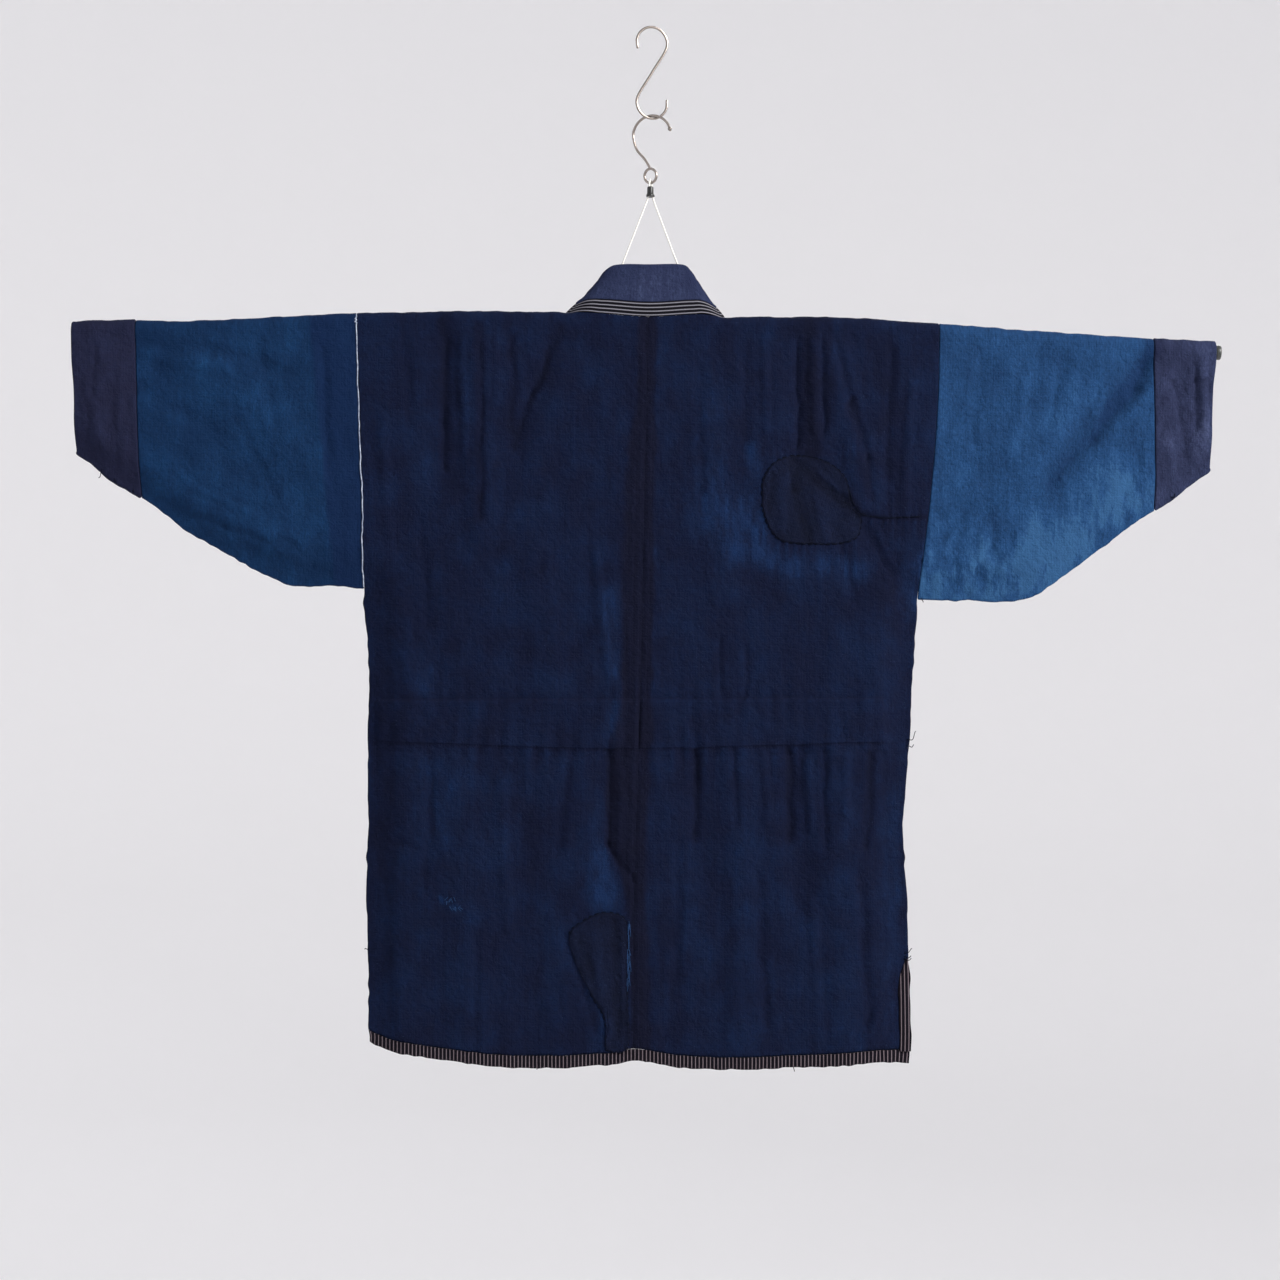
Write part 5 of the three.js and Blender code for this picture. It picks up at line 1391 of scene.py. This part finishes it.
def round_strands(name, lines, radius, sides, across, finish, nodes=()):
    """Round strands along lines; across is a direction that none of them runs in."""
    all_points, all_faces, start = [], [], 0
    turn = np.linspace(0, 2 * math.pi, sides, endpoint=False)[None, :, None]
    fan = np.arange(1, sides - 1)
    for line in lines:
        line, along, size = with_rounded_ends(np.array(line, float), radius)
        one = np.cross(along, across)
        one /= np.linalg.norm(one, axis=1, keepdims=True)
        two = np.cross(along, one)
        ring = one[:, None] * np.cos(turn) + two[:, None] * np.sin(turn)
        all_points.append((line[:, None] + ring * size[:, None, None]).reshape(-1, 3))
        top = start + (len(line) - 1) * sides
        all_faces += grid_faces(len(line), sides, around=True, offset=start).tolist()
        all_faces += (np.stack([fan * 0, fan + 1, fan], -1) + start).tolist()
        all_faces += (np.stack([fan * 0, fan, fan + 1], -1) + top).tolist()
        start += len(line) * sides
    made = to_mesh(name, np.concatenate(all_points), all_faces)
    made.data.materials.append(finish)
    if nodes:
        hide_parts(*nodes)
    return made


# Hanger: rod, caps, hooks, cord and lock on the solids' own lines

SIDE_ON = np.array([0.0, 1.0, 0.0])
WIRE_RADIUS = 1.4
CORD_RADIUS = 0.95
HOOK_TURN = math.radians(18)
ROD_ENDS = {"left": -603.0, "right": 593.0}
BOW_RADIUS = 17.0
LOWER_BOW_DOWN = 79.0
HANGER_BOW_RADIUS = 21.0
EYE = {"x": -1.6, "down": 156.9, "half_width": 6.6, "half_height": 7.6}
CORD_SEATS = {"left": -55.0, "right": 51.0}
CORD_SEAT_DEPTH = 5.0
CORD_LOOP = table(("x", "y", "z"), [
    (-4.9, -1.6, -183), (-3.8, -2.3, -178), (-2.8, -2.9, -170), (-2.6, -2.9, -165), (-1.6, 0.4, -160.8),
    (-0.6, 3.7, -165), (-0.4, 3.5, -170), (0.6, 2.3, -178), (1.7, 1.6, -183),
])
LOCK_FOOT = (0.0, 0.0, -179.5)
LOCK_WIDENING = 1.5
LOCK_PROFILE = table(("radius", "height"), [
    (0.5, 0.0), (4.0, 0.0), (4.5, 0.3), (4.6, 1.0), (4.4, 2.4), (3.9, 3.2), (3.65, 3.8), (3.5, 9.4),
    (3.3, 10.3), (2.8, 10.9), (0.5, 11.0),
])
CAP_DEPTH = 12.0
CAP_PROFILE = table(("radius", "height"), [
    (7.0, 0.3), (7.8, 0.7), (7.8, 3.6), (7.3, 4.0), (7.3, 4.6), (7.8, 5.0), (7.8, 10.6), (7.4, 11.8),
    (6.4, 12.3), (2.0, 12.3),
])


def turned(points, angle):
    """Points turned about the vertical through the origin."""
    points = np.array(points, float)
    x = points[:, 0] * math.cos(angle) - points[:, 1] * math.sin(angle)
    y = points[:, 0] * math.sin(angle) + points[:, 1] * math.cos(angle)
    return np.stack([x, y, points[:, 2]], -1)


def bow(centre_down, start, end, count, radius):
    """Points round part of a circle, from one angle to another in degrees."""
    angle = np.radians(np.linspace(start, end, count))
    return np.stack([radius * np.cos(angle), 0 * angle, radius * np.sin(angle) - centre_down], -1)


def lathe(name, profile, sides, place, axis, finish, node):
    """A turned piece: a profile's radius and height round an axis through a place."""
    axis = np.array(axis, float) / np.linalg.norm(axis)
    one = np.cross(axis, SIDE_ON)
    one /= np.linalg.norm(one)
    two = np.cross(axis, one)
    turn = np.linspace(0, 2 * math.pi, sides, endpoint=False)
    ring = one * np.cos(turn)[:, None] + two * np.sin(turn)[:, None]
    radius, height = profile["radius"][:, None, None], profile["height"][:, None, None]
    points = np.array(place) + axis * height + ring[None] * radius
    count = len(radius)
    faces = grid_faces(count, sides, around=True)
    ends = [list(range(sides))[::-1], [(count - 1) * sides + k for k in range(sides)]]
    made = to_mesh(name, points.reshape(-1, 3), faces.tolist() + ends)
    made.data.materials.append(finish)
    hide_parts(node)
    return made


def on_rod(x):
    """Points of the rod's axis."""
    return np.stack([x, 0 * x, -rod_axis_down(x)], -1)


def make_rod():
    """The bamboo rod, following the shoulder line, and the caps on its two ends."""
    rod = on_rod(np.linspace(ROD_ENDS["left"], ROD_ENDS["right"], 61))
    round_strands("hanger_rod_bamboo", [rod], ROD_RADIUS - 0.02, 24, SIDE_ON, BAMBOO,
                  ["hanger_rod"])
    for side, x in ROD_ENDS.items():
        end, near = on_rod(np.array([x, x - OUTWARD[side] * CAP_DEPTH]))
        lathe(f"rod_cap_{side}_turned", CAP_PROFILE, 40, end, end - near, CAP_PLASTIC,
              f"rod_cap_{side}")


def make_hooks():
    """The S-hook and the hanger's own hook, each turned a little about the vertical."""
    upper = BOW_RADIUS - WIRE_RADIUS
    s_hook = np.concatenate([
        bow(upper, 200, -10, 8, BOW_RADIUS), [(0, 0, -(upper + LOWER_BOW_DOWN) / 2)],
        bow(LOWER_BOW_DOWN, 170, 370, 8, BOW_RADIUS),
    ])
    round_strands("s_hook_wire", [turned(through(s_hook, 10), HOOK_TURN)], WIRE_RADIUS, 16,
                  turned([SIDE_ON], HOOK_TURN)[0], STEEL_WIRE, ["s_hook"])

    bow_down = LOWER_BOW_DOWN + BOW_RADIUS - 2 * WIRE_RADIUS - SEAM_GAP + HANGER_BOW_RADIUS
    hook = np.concatenate([
        bow(bow_down, 12, 175, 9, HANGER_BOW_RADIUS), [(-17, 0, -128), (-8, 0, -139)],
        [(EYE["x"], 0, -(EYE["down"] - EYE["half_height"]))],
    ])
    wire = through(hook, 10)
    ball = WIRE_RADIUS * (1 + 0.6 * np.sqrt(np.maximum(0, 1 - (np.arange(len(wire)) / 2.2 - 1) ** 2)))
    turn = np.linspace(0, 2 * math.pi, 49)
    eye = np.stack([
        EYE["x"] + EYE["half_width"] * np.sin(turn), 0 * turn,
        -EYE["down"] + EYE["half_height"] * np.cos(turn),
    ], -1)
    plane = turned([SIDE_ON], -HOOK_TURN)[0]
    round_strands("hanger_hook_wire", [turned(wire, -HOOK_TURN)], ball, 16, plane, STEEL_WIRE,
                  ["hanger_hook"])
    round_strands("hanger_hook_eye", [turned(eye, -HOOK_TURN)], WIRE_RADIUS, 16, plane, STEEL_WIRE)


def make_cord():
    """The cord from its two seats in the rod, through the hook's eye, and the lock on it."""
    corners = points_of(CORD_LOOP)
    share = np.linspace(0, 1, 60)[1:, None]
    seats = on_rod(np.array([CORD_SEATS[side] for side in SIDES]))
    seats[:, 2] += ROD_RADIUS - CORD_SEAT_DEPTH
    left_leg = lerp(corners[0], seats[0], share)
    right_leg = lerp(corners[-1], seats[1], share)
    cord = np.concatenate([left_leg[::-1], through(corners, 8), right_leg])
    round_strands("hanger_cord_braid", [cord], CORD_RADIUS, 14, (0.9, 0.3, 0.0), COTTON_CORD,
                  ["hanger_cord"])
    lock = lathe("cord_lock_moulded", LOCK_PROFILE, 32, LOCK_FOOT, (0, 0, 1), MOULDED_PLASTIC,
                 "cord_lock")
    for vertex in lock.data.vertices:
        vertex.co.x = vertex.co.x + EYE["x"] * MM
        vertex.co.y = vertex.co.y * LOCK_WIDENING


# Threads

ARMHOLE_CORD_OUT = 2.2
ARMHOLE_CORD_FOOT = 598.0
STITCH_RISE = np.array([-0.6, 0.75, 1.0, 0.75, -0.6])
STITCHES_OFF_PATCH = 0.7
# The hem patch has no stitches on the last part of its outline
HEM_STITCHES_END = 68


def armhole_cord():
    """The pale cord that shows along the left armhole's seam, down to the underarm."""
    row = np.linspace(2.30, 3.75, 230)
    line = body_surface("left", "back", np.full(row.shape, 1.0), row)
    none, run = 0 * row, row * ABOVE_TUCK
    line[:, 0] += 0.55 * crumple(none, run, 1.0, 7.0, 101) + 0.8 * crumple(none, run, 1.0, 31.0, 103) - 0.4
    rise = -SIDE_ON + np.array([0.0, 1.0, 1.0]) * smooth(row - 3.0)[:, None]
    rise /= np.linalg.norm(rise, axis=1, keepdims=True)
    line += rise * ARMHOLE_CORD_OUT
    return line[line[:, 2] > -ARMHOLE_CORD_FOOT]


def running_stitches(side, path, length, gap, seed, lift):
    """Short stitches along a path of (x, down) points, each sinking into the cloth at its ends."""
    path = through(path, 40)
    run = np.concatenate([[0], np.cumsum(np.hypot(*np.diff(path, axis=0).T))])
    chance = np.random.default_rng(seed)
    lines, at = [], 1.0
    while at + length < run[-1]:
        size = length * chance.uniform(0.75, 1.25)
        places = at + size * np.linspace(0, 1, len(STITCH_RISE))
        x = np.interp(places, run, path[:, 0]) + chance.uniform(-0.25, 0.25)
        down = np.interp(places, run, path[:, 1])
        points = back_skin(side, x, down, 0.0)
        points[:, 1] -= lift * STITCH_RISE
        lines.append(points)
        at += size + gap * chance.uniform(0.7, 1.3)
    return lines


def beside_patch(rows, centre):
    """A line of stitches just outside a patch's outline."""
    outline = closed_outline(rows, 80)
    away = outline - np.array(centre)
    return outline + away / np.linalg.norm(away, axis=1, keepdims=True) * STITCHES_OFF_PATCH


def dark_stitches():
    """The seam from the oval patch, and the stitches round both patches."""
    oval = beside_patch(OVAL_PATCH, OVAL_CENTRE)
    hem = beside_patch(HEM_PATCH, HEM_PATCH_CENTRE)[:HEM_STITCHES_END]
    lines = running_stitches("right", points_of(SEAM_FROM_OVAL), 9.0, 0.6, 7, 0.55)
    lines += running_stitches("right", oval, 4.4, 2.4, 9, 0.5)
    return lines + running_stitches("left", hem, 4.0, 3.2, 11, 0.45)


def frayed_ends(chance):
    """Frayed warp threads along the centre seam, beside the hem patch."""
    t = np.linspace(0, 1, 6)
    lines = []
    for _ in range(30):
        down = chance.uniform(948, 1012)
        x = -24.6 + chance.uniform(-1.8, 1.6) + (down - 980) * 0.01
        size = chance.uniform(5, 14)
        lean = chance.uniform(-1.6, 1.6)
        points = back_skin("left", x + lean * t, down + size * t, 0.5)
        points[:, 1] -= 0.7 * np.sin(np.pi * t)
        lines.append(points)
    return lines


def darn(chance):
    """The small slanting darn on the left half of the back."""
    t = np.linspace(0, 1, 5)
    lines = []
    for _ in range(14):
        down = chance.uniform(923, 938)
        x = -217 + (down - 923) * 0.9 + chance.uniform(-7, 7)
        lean = chance.uniform(-3.5, 3.5)
        size = chance.uniform(1.5, 5)
        lines.append(back_skin("left", x + lean * t, down + size * t, 0.4))
    return lines


def loose_ends():
    """Curling ends of thread that stand out from the edges."""
    t = np.linspace(0, 1, 14)
    lines = []
    for x, down, reach, drop, curl, seed in zip(*LOOSE_ENDS.values()):
        sway = curl * np.sin(t * np.random.default_rng(int(seed)).uniform(3.5, 6.0)) * t
        y = -2.0 - 2.5 * np.sin(np.pi * t)
        lines.append(np.stack([x + reach * t + 0.3 * sway, y, -(down + drop * t + sway)], -1))
    return lines


def make_threads():
    """What is sewn or frayed: the armhole's cord, stitches, frayed threads and loose ends."""
    round_strands("armhole_cord_white", [armhole_cord()], 0.62, 8, (0.0, 1.0, 0.3), WHITE_THREAD)
    round_strands("dark_stitches", dark_stitches(), 0.5, 6, (0.0, 1.0, 0.05), DARK_THREAD)
    chance = np.random.default_rng(23)
    frayed = frayed_ends(chance) + darn(chance)
    round_strands("frayed_threads", frayed, 0.32, 5, (0.0, 1.0, 0.05), FADED_THREAD)
    round_strands("loose_threads", loose_ends(), 0.42, 5, (0.05, 1.0, 0.0), DARK_THREAD)


# Camera, light and surroundings, in metres

CAMERA_DISTANCE = 3.0
FRAME_WIDTH = 1.357
VIEW_CENTRE = (-0.0127, -0.012, -0.651)
SENSOR_WIDTH = 36.0
LIGHT_AIM = (0.0, 0.0, -0.7)
STUDIO_SIDES = 96
STUDIO_PROFILE = table(("radius", "height"), [
    (6.0, -3.05), (7.2, -2.9), (8.2, -2.45), (8.9, -1.7), (9.2, -0.6), (9.2, 9.0),
])


def make_camera():
    """A long lens level with the jacket, square to its back."""
    data = bpy.data.cameras.new("camera")
    data.sensor_width = SENSOR_WIDTH
    data.lens = SENSOR_WIDTH * CAMERA_DISTANCE / FRAME_WIDTH
    camera = bpy.data.objects.new("camera", data)
    camera.location = (VIEW_CENTRE[0], VIEW_CENTRE[1] - CAMERA_DISTANCE, VIEW_CENTRE[2])
    camera.rotation_euler = (math.radians(90), 0.0, 0.0)
    bpy.context.scene.collection.objects.link(camera)
    bpy.context.scene.camera = camera


def soft_light(name, place, size, watts, colour):
    """A round soft light that faces the jacket."""
    data = bpy.data.lights.new(name, "AREA")
    data.shape = "DISK"
    data.size = size
    data.energy = watts
    data.color = linear(colour)[:3]
    light = bpy.data.objects.new(name, data)
    light.location = place
    across, back, up = np.array(place) - np.array(LIGHT_AIM)
    light.rotation_euler = (math.atan2(math.hypot(across, back), up), 0.0, math.atan2(across, -back))
    bpy.context.scene.collection.objects.link(light)


def make_studio():
    """A pale floor that turns up into a round wall on all sides, far from the jacket."""
    angle = np.linspace(0, 2 * math.pi, STUDIO_SIDES, endpoint=False)[None, :]
    radius = STUDIO_PROFILE["radius"][:, None]
    height = STUDIO_PROFILE["height"][:, None]
    points = np.stack(np.broadcast_arrays(radius * np.cos(angle), radius * np.sin(angle), height), -1)
    walls = grid_faces(len(radius), STUDIO_SIDES, around=True)[:, [1, 2, 3, 0]]
    mesh = bpy.data.meshes.new("studio")
    mesh.from_pydata(points.reshape(-1, 3).tolist(), [], [*walls.tolist(), list(range(STUDIO_SIDES))])
    mesh.shade_smooth()
    studio = bpy.data.objects.new("studio", mesh)
    bpy.context.scene.collection.objects.link(studio)
    material, tree = new_material("pale_studio_paint")
    shader = add(tree, "ShaderNodeBsdfPrincipled", {
        "Base Color": linear("#f2f1f2"), "Roughness": 0.95, "Specular IOR Level": 0.1,
    })
    finish_material(tree, shader)
    mesh.materials.append(material)


def make_light():
    """A soft key from the upper right, a weak fill, one light for the front, and pale air."""
    bpy.context.scene.view_settings.view_transform = "Standard"
    soft_light("key", (3.3, -2.1, 1.3), 1.6, 355.0, "#fffdfa")
    soft_light("fill", (-3.2, -3.0, 0.2), 3.0, 36.0, "#f6f8ff")
    soft_light("behind", (1.5, 4.6, 2.2), 3.0, 150.0, "#ffffff")
    world = bpy.data.worlds.new("studio_air")
    bpy.context.scene.world = world
    world.use_nodes = True
    backdrop = world.node_tree.nodes["Background"]
    backdrop.inputs["Color"].default_value = (0.93, 0.95, 1.0, 1.0)
    backdrop.inputs["Strength"].default_value = 0.58


make_camera()
make_studio()
make_light()
make_body()
make_sleeves()
make_collar()
make_patches()
make_vent_band()
make_rod()
make_hooks()
make_cord()
make_threads()
